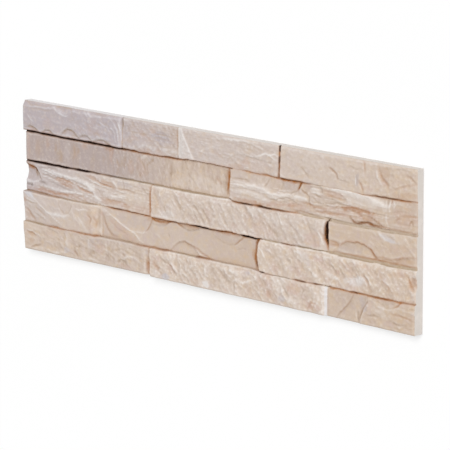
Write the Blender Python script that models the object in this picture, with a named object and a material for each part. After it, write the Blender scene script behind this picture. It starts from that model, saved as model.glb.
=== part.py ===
"""Decorative cladding tile, cast in one piece: five courses of split stones in relief on a thin slab.

The tile lies on its flat back with its face up. X runs along its length, Y up its courses as they
hang on a wall, and Z out of the face. The origin is the middle of the back. Units are metres.
"""

import math
from collections import namedtuple

import bmesh
import bpy
from mathutils import Vector, noise
from mathutils.geometry import intersect_point_line

MM = 0.001

# Overall sizes
TILE_LENGTH = 525 * MM
COURSE_HEIGHTS = [28.4 * MM, 30.6 * MM, 30.6 * MM, 30.2 * MM, 30.2 * MM]  # bottom course first
BACK_CHAMFER = 1.2 * MM

# Thickness of the tile at its stones' faces
SUNK_FACE = 8.7 * MM
LOW_FACE = 9.7 * MM
LEVEL_FACE = 10.8 * MM
PROUD_FACE = 12.4 * MM

# Joints between the stones
COURSE_JOINT = 1.3 * MM  # width between two courses
COURSE_WANDER = 0.5 * MM  # how far such a joint strays from a straight line
COURSE_WANDER_LENGTH = 45 * MM
END_JOINT_DEPTH = 1.8 * MM  # between two stones of a course, below the lower of their faces
WALL_DRAFT = 0.35 * MM  # how far a joint's wall leans back from its foot to its arris

# Spacing of the face's mesh lines
LINE_ALONG = 5.6 * MM
LINE_ACROSS = 4.3 * MM

# Relief of a split face
LUMP_SIZE = 15 * MM
GRAIN_SIZE = 6 * MM
LEAST_THICKNESS = 6 * MM

CAST_COLOUR = (0.70, 0.58, 0.48, 1.0)
CAST_ROUGHNESS = 0.88

# A stone's length and its other numbers are in millimetres. Its length is counted from the middle of one
# joint to the middle of the next, and the last stone of a course fills it up. gap is the width of the joint
# at its right end, and under the depth of the joint below it. left and right are the tile's thickness at its
# two ends, from above. Its face leans thicker at its top edge than at its bottom edge by lean, and is rough
# by that much. Places in its marks are (along from its left end, up from its bottom edge).
Stone = namedtuple("Stone", "name length gap under left right lean rough marks")


def dressed(edge, fall, reach):
    """The face falling away to its top, left or right edge over reach."""

    def change(point, size):
        inside = {"top": size.y - point.y, "left": point.x, "right": size.x - point.x}[edge]
        return -fall * MM * min(max(1.0 - inside / (reach * MM), 0.0), 1.0)

    return change


def slope(start, end, fall, reach):
    """A facet on the left of the line from start to end, falling away from it over reach."""
    a = Vector(start) * MM
    b = Vector(end) * MM
    along = (b - a).normalized()
    outward = Vector((-along.y, along.x))

    def change(point, _):
        beyond = (point - a).dot(outward) / (reach * MM)
        return -fall * MM * min(max(beyond, 0.0), 1.0)

    return change


def scoop(centre, radii, depth):
    """A shell-shaped chip, deepest in its middle."""
    middle = Vector(centre) * MM

    def change(point, _):
        offset = point - middle
        inside = 1.0 - (offset.x / (radii[0] * MM)) ** 2 - (offset.y / (radii[1] * MM)) ** 2
        return -depth * MM * max(inside, 0.0)

    return change


def distance_to_path(point, path):
    """How far a point is from a line through several places, which are vectors."""
    nearest = math.inf
    for a, b in zip(path, path[1:]):
        foot, share = intersect_point_line(point, a, b)
        share = min(max(share, 0.0), 1.0)
        nearest = min(nearest, (point - a.lerp(b, share)).length)
    return nearest


def crest(places, rise, spread):
    """A ridge along a path, with flanks that fall off evenly."""
    path = [Vector(place) * MM for place in places]

    def change(point, _):
        return rise * MM * max(1.0 - distance_to_path(point, path) / (spread * MM), 0.0)

    return change


def recess(outline, depth, soft):
    """A bed where a layer has split off, with a wall that is soft wide."""
    corners = [Vector(place) * MM for place in outline]
    closed = corners + corners[:1]

    def change(point, _):
        inside = False
        for a, b in zip(closed, closed[1:]):
            if (a.y > point.y) != (b.y > point.y):
                crossing = a.x + (point.y - a.y) / (b.y - a.y) * (b.x - a.x)
                inside = inside != (point.x < crossing)
        if not inside:
            return 0.0
        return -depth * MM * min(distance_to_path(point, closed) / (soft * MM), 1.0)

    return change


def layers(angle, pitch, rise):
    """Beds that crop out as low waves, running at that angle from the stone's length."""
    normal = Vector((-math.sin(math.radians(angle)), math.cos(math.radians(angle))))

    def change(point, _):
        sway = 0.4 * noise.noise(Vector((point.x, point.y, 0.0)) / (20 * MM))
        share = point.dot(normal) / (pitch * MM) + sway
        return 0.5 * rise * MM * math.sin(math.tau * share)

    return change


# The courses run from the bottom of the tile to its top, and their stones from left to right
COURSES = [
    [
        Stone("M", 179.3, 3.4, 0, PROUD_FACE, LEVEL_FACE, 1.0, 0.35, [
            dressed("top", 0.8, 4),
            dressed("right", 1.6, 6),
            crest([(2, 22), (14, 18), (26, 14)], 0.6, 8),
            scoop((160, 3), (18, 10), 0.8),
        ]),
        Stone("N", 235.7, 1.6, 0, PROUD_FACE, PROUD_FACE, -0.4, 0.9, [
            dressed("top", 1.4, 5.5),
            crest([(20, 22), (34, 8), (50, 2)], 0.9, 8),
            crest([(120, 24), (150, 12), (168, 4)], 1.0, 9),
        ]),
        Stone("O", 0, 0, 0, LEVEL_FACE, LEVEL_FACE, 0.2, 0.5, [
            recess([(-9, -9), (39, -9), (43, 10), (51, 20), (48, 40), (-9, 40)], 1.6, 4),
            scoop((77, 30), (19, 8), 1.6),
            slope((70, 24), (84, 8), 0.6, 14),
        ]),
    ],
    [
        Stone("J", 110.2, 1.4, 1.4, PROUD_FACE, PROUD_FACE, 0.8, 0.3, [
            dressed("right", 2.2, 9),
            slope((52, 2), (4, 28), 1.6, 20),
            scoop((50, 27), (24, 14), 1.4),
            scoop((94, 3), (16, 9), 0.8),
        ]),
        Stone("K", 217.7, 2.0, 1.4, LOW_FACE, SUNK_FACE, 0.0, 0.15, [
            slope((54, 3), (6, 29), 1.5, 16),
            crest([(6, 28), (30, 17), (54, 6), (76, 15)], 0.7, 7),
            scoop((44, 28), (30, 15), 1.3),
            scoop((172, 31), (22, 11), 0.9),
            scoop((96, 31), (12, 8), 0.6),
            scoop((122, 2), (16, 9), 0.8),
        ]),
        Stone("L", 0, 0, 1.4, PROUD_FACE, LEVEL_FACE, -0.4, 0.9, [
            dressed("top", 1.4, 6),
            scoop((194, 20), (10, 9), 1.2),
            crest([(90, 24), (112, 10), (126, 2)], 0.9, 8),
        ]),
    ],
    [
        Stone("G", 184.5, 2.0, 1.6, LOW_FACE, LOW_FACE, 0.2, 0.4, [
            layers(-14, 11, 1.2),
            scoop((3, 18), (20, 11), 2.8),
            crest([(22, 24), (66, 20), (112, 6)], 1.1, 9),
            crest([(88, 27), (132, 20), (182, 13)], 0.8, 9),
        ]),
        Stone("H", 231.8, 2.4, 1.6, PROUD_FACE, PROUD_FACE, -0.4, 0.9, [
            dressed("top", 1.4, 5.5),
            dressed("right", 1.8, 12),
            crest([(16, 24), (36, 10), (48, 3)], 0.8, 8),
        ]),
        Stone("I", 0, 0, 1.8, LOW_FACE, LOW_FACE, 0.2, 0.15, [
            recess([(16, -9), (20, 13), (40, 15), (52, 13), (60, 7), (90, 9), (120, 11), (120, -9)], 0.9, 4),
            slope((64, 30), (72, 22), 0.6, 12),
        ]),
    ],
    [
        Stone("E", 290.4, 1.6, 3.0, SUNK_FACE, SUNK_FACE, -0.2, 0.25, [
            scoop((128, 30), (10, 10), 0.5),
        ]),
        Stone("F", 0, 0, 1.4, PROUD_FACE, SUNK_FACE, 0.2, 0.5, [
            layers(-3, 10, 0.7),
            recess([(10, 40), (14, 22), (40, 17), (60, 12), (78, 14), (96, 18), (104, 40)], 2.6, 6),
            crest([(2, 11), (60, 8), (110, 9), (150, 14)], 0.9, 9),
            crest([(118, 26), (150, 24), (196, 21)], 1.4, 11),
            scoop((175, -1), (30, 8), 1.2),
            scoop((206, 28), (8, 11), 0.9),
        ]),
    ],
    [
        Stone("A", 144, 1.0, 4.5, PROUD_FACE, PROUD_FACE, 0.0, 0.3, [
            dressed("top", 3.6, 5.5),
            dressed("right", 1.6, 5),
            scoop((13, 0), (10, 6), 1.5),
            scoop((37, 0), (10, 6), 1.5),
            scoop((70, 0), (14, 9), 1.8),
            scoop((94, 0), (11, 7), 1.5),
            scoop((117, 0), (12, 6), 1.5),
        ]),
        Stone("B", 77.5, 1.0, 1.4, LEVEL_FACE, LEVEL_FACE, -0.2, 0.25, []),
        Stone("C", 134.5, 1.6, 1.4, LEVEL_FACE, LEVEL_FACE, -0.3, 0.35, [
            slope((19, 0), (3, 28), 0.9, 10),
            scoop((92, 0), (34, 11), 0.9),
            crest([(98, 15), (114, 18), (131, 14)], 0.7, 7),
        ]),
        Stone("D", 0, 0, 1.4, LEVEL_FACE, LOW_FACE, -0.2, 0.45, [
            scoop((130, 19), (12, 11), 1.0),
            scoop((84, 6), (18, 10), 0.7),
        ]),
    ],
]

# A stone in its course, with the places of its joints' middles and its arrises
Placed = namedtuple("Placed", "stone seed height start end left right")
HAIR = 0.001 * MM  # places closer than this are one place


def place_stones(level):
    """The stones of a course where they lie."""
    placed = []
    start = -TILE_LENGTH / 2
    gap = 0.0
    for number, stone in enumerate(COURSES[level]):
        left = start + (gap / 2 + WALL_DRAFT if number else 0.0)
        gap = stone.gap * MM
        is_last = number == len(COURSES[level]) - 1
        end = TILE_LENGTH / 2 if is_last else start + stone.length * MM
        right = end - (0.0 if is_last else gap / 2 + WALL_DRAFT)
        seed = 3.1 * level + 0.7 * number
        placed.append(Placed(stone, seed, COURSE_HEIGHTS[level], start, end, left, right))
        start = end
    return placed


def face_thickness(placed, x, up):
    """Thickness of the tile on a stone's face, at a height up from the bottom of its course."""
    stone = placed.stone
    point = Vector((x - placed.start, up))
    size = Vector((placed.end - placed.start, placed.height))
    thickness = stone.left + (stone.right - stone.left) * point.x / size.x
    thickness += stone.lean * MM * (up / placed.height - 0.5)
    for mark in stone.marks:
        thickness += mark(point, size)
    lumps = noise.noise(Vector((x / LUMP_SIZE, up / LUMP_SIZE, placed.seed)))
    grain = noise.noise(Vector((x / GRAIN_SIZE, up / GRAIN_SIZE, placed.seed + 50)))
    thickness += stone.rough * MM * (lumps + 0.5 * grain)
    return max(thickness, LEAST_THICKNESS)


def beyond_face(placed, x):
    """How far a place along a course lies beyond a stone's face, or less than 0 on it."""
    return max(placed.left - x, x - placed.right)


def course_thickness(course, x, up):
    """Thickness of the tile along a course, over its stones and down in the joints at their ends."""
    nearest, *others = sorted(course, key=lambda placed: beyond_face(placed, x))
    on_face = face_thickness(nearest, min(max(x, nearest.left), nearest.right), up)
    if beyond_face(nearest, x) < HAIR:
        return on_face
    across = others[0]
    return min(on_face, face_thickness(across, min(max(x, across.left), across.right), up)) - END_JOINT_DEPTH


def joint_line(level, x):
    """Height of the joint below a course, which strays a little from a straight line."""
    straight = sum(COURSE_HEIGHTS[:level]) - sum(COURSE_HEIGHTS) / 2
    if level in (0, len(COURSES)):
        return straight
    return straight + COURSE_WANDER * noise.noise(Vector((x / COURSE_WANDER_LENGTH, 9.0 * level, 0.0)))


def joint_floor(placed_courses, level, x):
    """Thickness of the tile down in the joint below a course."""
    above = course_thickness(placed_courses[level], x, 0.0)
    below = course_thickness(placed_courses[level - 1], x, COURSE_HEIGHTS[level - 1])
    over = min(placed_courses[level], key=lambda placed: beyond_face(placed, x))
    return min(above, below) - over.stone.under * MM


def spread(first, last, spacing):
    """Evenly spaced places from first to last, no further apart than spacing."""
    count = max(1, math.ceil((last - first) / spacing))
    return [first + (last - first) * i / count for i in range(count + 1)]


def mesh_columns(course):
    """Places along a course where its face has mesh lines."""
    columns = []
    for placed in course:
        if placed.left > placed.start:
            columns.append(placed.left - WALL_DRAFT)
        columns.extend(spread(placed.left, placed.right, LINE_ALONG))
        if placed.right < placed.end:
            columns.append(placed.right + WALL_DRAFT)
    return columns


def add_course(mesh, placed_courses, level):
    """Adds one course's face and returns its lines of vertices, from its bottom to its top."""
    is_lowest = level == 0
    is_highest = level == len(COURSES) - 1
    foot = COURSE_JOINT / 2
    arris = foot + WALL_DRAFT
    columns = mesh_columns(placed_courses[level])
    height = COURSE_HEIGHTS[level]
    ups = spread(0.0 if is_lowest else arris, height - (0.0 if is_highest else arris), LINE_ACROSS)
    lines = []
    if not is_lowest:
        places = [(x, joint_line(level, x) + foot, joint_floor(placed_courses, level, x)) for x in columns]
        lines.append([mesh.verts.new(place) for place in places])
    for up in ups:
        line = []
        for x in columns:
            low = joint_line(level, x)
            high = joint_line(level + 1, x)
            y = low + (high - low) * up / height
            line.append(mesh.verts.new((x, y, course_thickness(placed_courses[level], x, up))))
        lines.append(line)
    if not is_highest:
        above = level + 1
        places = [(x, joint_line(above, x) - foot, joint_floor(placed_courses, above, x)) for x in columns]
        lines.append([mesh.verts.new(place) for place in places])
    for lower, upper in zip(lines, lines[1:]):
        for i in range(len(lower) - 1):
            mesh.faces.new((lower[i], lower[i + 1], upper[i + 1], upper[i]))
    return lines


def bridge(mesh, lower, upper):
    """Joins two lines of vertices along a joint's floor with triangles, whatever their counts."""
    i = 0
    j = 0
    while i < len(lower) - 1 or j < len(upper) - 1:
        at_end = j == len(upper) - 1
        if at_end or (i < len(lower) - 1 and lower[i + 1].co.x <= upper[j + 1].co.x):
            mesh.faces.new((lower[i], lower[i + 1], upper[j]))
            i += 1
        else:
            mesh.faces.new((lower[i], upper[j + 1], upper[j]))
            j += 1


def close_back(mesh, outline):
    """Adds the four sides, the chamfer round the back and the flat back below the face's outline."""
    half_length = TILE_LENGTH / 2
    half_height = sum(COURSE_HEIGHTS) / 2
    corners = [(-1, -1), (1, -1), (1, 1), (-1, 1)]
    rim = [mesh.verts.new((half_length * i, half_height * j, BACK_CHAMFER)) for i, j in corners]
    back = [
        mesh.verts.new(((half_length - BACK_CHAMFER) * i, (half_height - BACK_CHAMFER) * j, 0))
        for i, j in corners
    ]
    for side, edge in enumerate(outline):
        following = (side + 1) % len(corners)
        mesh.faces.new([rim[side], rim[following], *reversed(edge)])
        mesh.faces.new((back[side], back[following], rim[following], rim[side]))
    mesh.faces.new(list(reversed(back)))


def cast_material():
    """Tinted plaster, pale and quite matt."""
    material = bpy.data.materials.new("cast_stone")
    material.use_nodes = True
    shader = material.node_tree.nodes["Principled BSDF"]
    shader.inputs["Base Color"].default_value = CAST_COLOUR
    shader.inputs["Roughness"].default_value = CAST_ROUGHNESS
    shader.inputs["Metallic"].default_value = 0.0
    material.diffuse_color = CAST_COLOUR
    return material


def build_tile():
    """The whole cast tile as one closed body."""
    mesh = bmesh.new()
    placed_courses = [place_stones(level) for level in range(len(COURSES))]
    courses = [add_course(mesh, placed_courses, level) for level in range(len(COURSES))]
    for lower, upper in zip(courses, courses[1:]):
        bridge(mesh, lower[-1], upper[0])
    lines = [line for course in courses for line in course]
    right_edge = [line[-1] for line in lines]
    left_edge = [line[0] for line in reversed(lines)]
    close_back(mesh, [lines[0], right_edge, list(reversed(lines[-1])), left_edge])
    bmesh.ops.recalc_face_normals(mesh, faces=mesh.faces)

    data = bpy.data.meshes.new("cladding_tile")
    mesh.to_mesh(data)
    mesh.free()
    data.materials.append(cast_material())
    tile = bpy.data.objects.new("cladding_tile", data)
    bpy.context.scene.collection.objects.link(tile)
    return tile


for leftover in list(bpy.data.objects):
    bpy.data.objects.remove(leftover)
build_tile()
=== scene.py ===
"""The cast cladding tile as it looks: split stones in relief, tinted and worn, on a plain white ground."""

import math
from collections import namedtuple

import bpy
import numpy as np
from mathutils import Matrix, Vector


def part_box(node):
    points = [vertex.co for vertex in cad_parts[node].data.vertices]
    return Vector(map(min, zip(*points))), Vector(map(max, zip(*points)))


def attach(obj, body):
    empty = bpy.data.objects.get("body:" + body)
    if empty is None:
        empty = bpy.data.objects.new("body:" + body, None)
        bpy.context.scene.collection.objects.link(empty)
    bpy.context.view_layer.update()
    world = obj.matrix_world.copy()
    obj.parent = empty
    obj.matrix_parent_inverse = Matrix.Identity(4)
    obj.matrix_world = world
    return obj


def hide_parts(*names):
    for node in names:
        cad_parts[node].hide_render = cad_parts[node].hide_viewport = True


bl_info = {
    "name": "Split-stone cladding tile",
    "version": (1, 0, 0),
    "blender": (4, 5, 0),
    "location": "View3D > Sidebar > Cladding",
    "description": "Models one cast cladding tile with split-stone relief, its finish and its studio",
    "category": "Add Mesh",
}

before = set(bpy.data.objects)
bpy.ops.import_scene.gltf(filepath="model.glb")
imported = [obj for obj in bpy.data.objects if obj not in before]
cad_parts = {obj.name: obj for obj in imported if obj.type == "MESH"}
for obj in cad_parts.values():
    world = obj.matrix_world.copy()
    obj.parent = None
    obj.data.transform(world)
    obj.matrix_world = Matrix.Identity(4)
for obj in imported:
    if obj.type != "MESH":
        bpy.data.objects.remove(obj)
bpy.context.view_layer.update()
LOW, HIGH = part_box("cladding_tile")

MM = 0.001
TILE_LENGTH = (HIGH[0] - LOW[0]) / MM  # this and all other sizes of the tile are in millimetres
TILE_HEIGHT = (HIGH[1] - LOW[1]) / MM
HIGHEST_FACE = (HIGH[2] - LOW[2]) / MM
COURSE_HEIGHT = TILE_HEIGHT / 5

# Places on the face are measured across from its left end and down from its top edge, as they are seen
# on a plane this far above the back. A stone in front of that plane is seen shifted left and down.
SEEN_PLANE = 10.8
SEEN_LEFT = 1.0  # shift for each millimetre in front of the plane
SEEN_DOWN = 0.29


LOW_BITS = 0xFFFFFFFF


def mixed(i, j, seed):
    """A repeatable number from 0 to 1 for each pair of whole numbers, whose bits large factors scatter."""
    h = (i.astype(np.int64) * 374761393 + j.astype(np.int64) * 668265263 + seed * 974634777) & LOW_BITS
    h = ((h ^ (h >> 13)) * 1274126177) & LOW_BITS
    h = ((h ^ (h >> 15)) * 2246822519) & LOW_BITS
    return (h ^ (h >> 16)) / (LOW_BITS + 1)


def ripple(x, y, seed):
    """Smooth noise from -1 to 1 with lumps one unit across."""
    i = np.floor(x)
    j = np.floor(y)
    a = x - i
    b = y - j
    a = a * a * a * (a * (6 * a - 15) + 10)
    b = b * b * b * (b * (6 * b - 15) + 10)
    low = mixed(i, j, seed) * (1 - a) + mixed(i + 1, j, seed) * a
    high = mixed(i, j + 1, seed) * (1 - a) + mixed(i + 1, j + 1, seed) * a
    return 2 * (low * (1 - b) + high * b) - 1


def rubble(x, y, seed, layers=4):
    """Noise of several sizes, each half as large and 0.55 as strong as the last."""
    total = np.zeros_like(x)
    strength = 1.0
    for layer in range(layers):
        total += strength * ripple(x, y, seed + 17 * layer)
        x = x * 2.03 + 11.7
        y = y * 2.03 + 5.3
        strength *= 0.55
    return total


FLAKES_MEAN = 0.37


def flakes(x, y, seed):
    """Hollows one unit across that meet in sharp crests, as where chips have split off."""
    i = np.floor(x)
    j = np.floor(y)
    lowest = np.full_like(x, 9.0)
    for a in (-1, 0, 1):
        for b in (-1, 0, 1):
            wander, drift, tilt, slant, sink = (mixed(i + a, j + b, seed + n) - 0.5 for n in range(5))
            dx = x - i - a - 0.5 - 0.8 * wander
            dy = y - j - b - 0.5 - 0.8 * drift
            tilted = dx * dx + dy * dy + 0.7 * (tilt * dx + slant * dy)
            lowest = np.minimum(lowest, tilted + 0.4 * sink + 0.2)
    return lowest


def turned(x, y, angle):
    """Distances along and across a direction, which falls to the right by angle degrees."""
    c = math.cos(math.radians(angle))
    s = math.sin(math.radians(angle))
    return x * c + y * s, -x * s + y * c


def eased(share):
    """0 below 0, 1 above 1, and smooth in between."""
    share = np.clip(share, 0, 1)
    return share * share * (3 - 2 * share)


def bell(share):
    """1 at 0, falling smoothly away on both sides."""
    return np.exp(-share * share)


# The fields of the face that its finish is mixed by: pale is where it's worn, and also painted highlight on
# crests and top edges; gap is painted shade, black where joints and cracks lie deep in shadow; dusk is a
# dark tint and also painted shade; tan gathers in hollows and is partly painted shade there; and the others
# are tints and stains.
MASKS = ("pale", "rust", "ochre", "blush", "tan", "cool", "dusk", "honey", "gap")


class StoneFace:
    """One stone's split face while it's worked: the rise of its surface and its masks."""

    def __init__(self, across, down, seed):
        self.u = across
        self.v = down
        self.seed = seed
        self.rise = np.zeros_like(across)
        for mask in MASKS:
            setattr(self, mask, np.zeros_like(across))

    def tint(self, share, **tones):
        """Adds tones to the masks that they name."""
        for mask, amount in tones.items():
            setattr(self, mask, getattr(self, mask) + amount * share)

    def path(self, places):
        """Each point's distance from a line through several places, its side (1 is right) and its fade.

        Fade falls to nearly 0 at the line's ends.
        """
        places = np.array(places, float)
        lengths = np.hypot(*np.diff(places, axis=0).T)
        run = np.concatenate([[0], np.cumsum(lengths)]) / lengths.sum()
        nearest = np.full(self.u.shape, 1e9)
        side = np.ones_like(self.u)
        share = np.zeros_like(self.u)
        stray_u = self.u + 0.5 * ripple(self.u / 4.5, self.v / 4.5, self.seed + 5)
        stray_v = self.v + 0.5 * ripple(self.u / 4.5, self.v / 4.5, self.seed + 6)
        for k, (a, b) in enumerate(zip(places, places[1:])):
            ab = b - a
            t = np.clip(((stray_u - a[0]) * ab[0] + (stray_v - a[1]) * ab[1]) / (ab @ ab), 0, 1)
            du = stray_u - a[0] - t * ab[0]
            dv = stray_v - a[1] - t * ab[1]
            distance = np.hypot(du, dv)
            closer = distance < nearest
            nearest = np.where(closer, distance, nearest)
            side = np.where(closer, np.sign(ab[0] * dv - ab[1] * du), side)
            share = np.where(closer, run[k] + t * (run[k + 1] - run[k]), share)
        fade = np.sin(math.pi * np.clip(share, 0.03, 0.97)) ** 0.45
        return nearest, side, fade

    def ridge(self, places, rise, flanks, line, **tones):
        """A crest that falls away over one width on its left side and another on its right."""
        distance, side, fade = self.path(places)
        width = np.where(side < 0, flanks[0], flanks[1])
        self.rise += rise * fade * np.clip(1 - distance / width, 0, 1) ** 1.4
        self.tint(fade * bell(distance / line), **tones)

    def crack(self, places, depth, width, **tones):
        """A narrow groove, stained."""
        distance, _, fade = self.path(places)
        self.rise -= depth * fade * bell(distance / width)
        self.tint(fade * bell(distance / (1.25 * width)), **tones)

    def scarp(self, places, drop, reach, line, **tones):
        """A sudden step down to the right of a line, from which the face slowly rises again."""
        distance, side, fade = self.path(places)
        foot = eased(distance * (side > 0) / 0.7)
        self.rise -= drop * fade * foot * bell(distance / reach) * (side > 0)
        self.tint(fade * bell(distance / line), **tones)

    def facet(self, start, end, fall, reach):
        """A flat that falls away to the right of a line over reach."""
        along = np.array(end, float) - np.array(start, float)
        along /= np.hypot(*along)
        beyond = along[0] * (self.v - start[1]) - along[1] * (self.u - start[0])
        self.rise -= fall * np.clip(beyond / reach, 0, 1)

    def dress_top(self, foot, depth):
        """Dresses the face back above foot."""
        self.rise -= depth * eased((foot - self.v) / 5)

    def dress_end(self, start, depth, run):
        """Lets the face fall back to the right of start, by depth over run."""
        self.rise -= depth * eased((self.u - start) / run)

    def oval(self, centre, radii, turn):
        """Each point's distance from an oval's centre, which is 1 on its rim."""
        x, y = turned(self.u - centre[0], self.v - centre[1], turn)
        return np.hypot(x / radii[0], y / radii[1])

    def scoop(self, centre, radii, depth, turn=0):
        """A shell-shaped chip with a sharp rim and faint rings."""
        r = self.oval(centre, radii, turn) + 0.05 * ripple(self.u / 5, self.v / 5, self.seed + 8)
        inside = np.clip(1 - r * r, 0, 1)
        self.rise -= depth * (inside ** 0.8 + 0.05 * np.sin(r * 14) * inside)

    def patch(self, centre, radii, turn=0, **tones):
        """A tinted, stained or worn place with a soft, ragged edge."""
        r = self.oval(centre, radii, turn) + 0.35 * rubble(self.u / 6, self.v / 4, self.seed + 9, 3)
        self.tint(eased((1.2 - r) / 0.6), **tones)

    def strata(self, angle, pitch, rise, within, worn, stained):
        """Beds that crop out as thin uneven ledges."""
        x, y = turned(self.u, self.v, angle)
        bent = 1.8 * rubble(x / 34, y / 11, self.seed + 21, 3)
        y = y + bent + 0.4 * rubble(x / 7, y / 3, self.seed + 22, 2)
        step = y / pitch
        bed = np.floor(step)
        share = step - bed
        strength = np.clip(0.6 + 0.8 * ripple(x / 24, bed * 3.7, self.seed + 23), 0.1, 1.2)
        profile = np.where(share < 0.8, share / 0.8, (1 - share) / 0.2) - 0.5
        self.rise += within * rise * strength * profile
        self.pale += within * worn * strength * bell((share - 0.78) / 0.12)
        self.tan += within * stained * strength * bell((share - 0.05) / 0.16)

    def streaks(self, angle, length, pitch, rise, within=1.0, worn=0.1, stained=0.1):
        """Long chisel marks that run one way."""
        x, y = turned(self.u, self.v, angle)
        y = y + pitch * ripple(self.u / 30, self.v / 30, self.seed + 30)
        field = rubble(x / length, y / pitch, self.seed + 31, 3)
        self.rise += within * rise * field
        self.pale += within * worn * np.clip(field - 0.3, 0, 1)
        self.tan += within * stained * np.clip(-field - 0.2, 0, 1)

    def hewn(self, angle, rise, swell, flake, within=1.0):
        """A rough chiselled surface: broad swells, long flakes split off along them and chips all over."""
        x, y = turned(self.u, self.v, angle)
        x = x + 3.0 * ripple(self.u / 13, self.v / 9, self.seed + 39)
        bent = 2.5 * ripple(self.u / 31, self.v / 31, self.seed + 40)
        y = y + bent + 1.1 * rubble(self.u / 6, self.v / 6, self.seed, 2)
        broad = rubble(x / swell[0], y / swell[1], self.seed + 41, 2)
        patchy = np.clip(0.55 + 0.9 * ripple(self.u / 17, self.v / 10, self.seed + 42), 0.1, 1.2)
        split = patchy * (flakes(x / flake[0], y / flake[1], self.seed + 43) - FLAKES_MEAN)
        across, down = turned(self.u, self.v, angle / 2)
        chips = flakes(across / 6.0, down / 2.8, self.seed + 45) - FLAKES_MEAN
        across, down = turned(self.u, self.v, angle / 4)
        flecks = flakes(across / 2.9, down / 1.9, self.seed + 49) - FLAKES_MEAN
        kept = rise * within
        self.rise += kept * (0.45 * broad + 0.75 * split + 0.36 * chips + 0.24 * flecks)
        # partly wear and stain, partly painted highlight on the crests and painted shade in the hollows
        self.pale += kept * (0.15 * np.clip(broad, 0, 1) + 0.4 * np.clip(split + 0.6 * chips - 0.05, 0, 1))
        self.blush += kept * (0.7 * np.clip(-broad - 0.1, 0, 1) + 0.5 * np.clip(-chips - 0.1, 0, 1))
        self.tan += kept * 0.5 * np.clip(-split - 0.6 * chips - 0.08, 0, 1)
        self.rust += kept * 0.35 * np.clip(-split - 0.5 * flecks - 0.2, 0, 1)

    def grain(self, size, rise):
        """Fine roughness with small pecks."""
        self.rise += 0.8 * rise * rubble(self.u / size, self.v / size, self.seed + 51, 3)
        across, down = turned(self.u, self.v, 20)
        self.rise += 1.6 * rise * (flakes(across / 4.4, down / 2.3, self.seed + 55) - FLAKES_MEAN)

    def box(self, left, right, top, bottom, soft):
        """1 inside a part of the face, with a soft edge."""
        inside = eased((self.u - left) / soft + 0.5) * eased((right - self.u) / soft + 0.5)
        return inside * eased((self.v - top) / soft + 0.5) * eased((bottom - self.v) / soft + 0.5)


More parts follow.
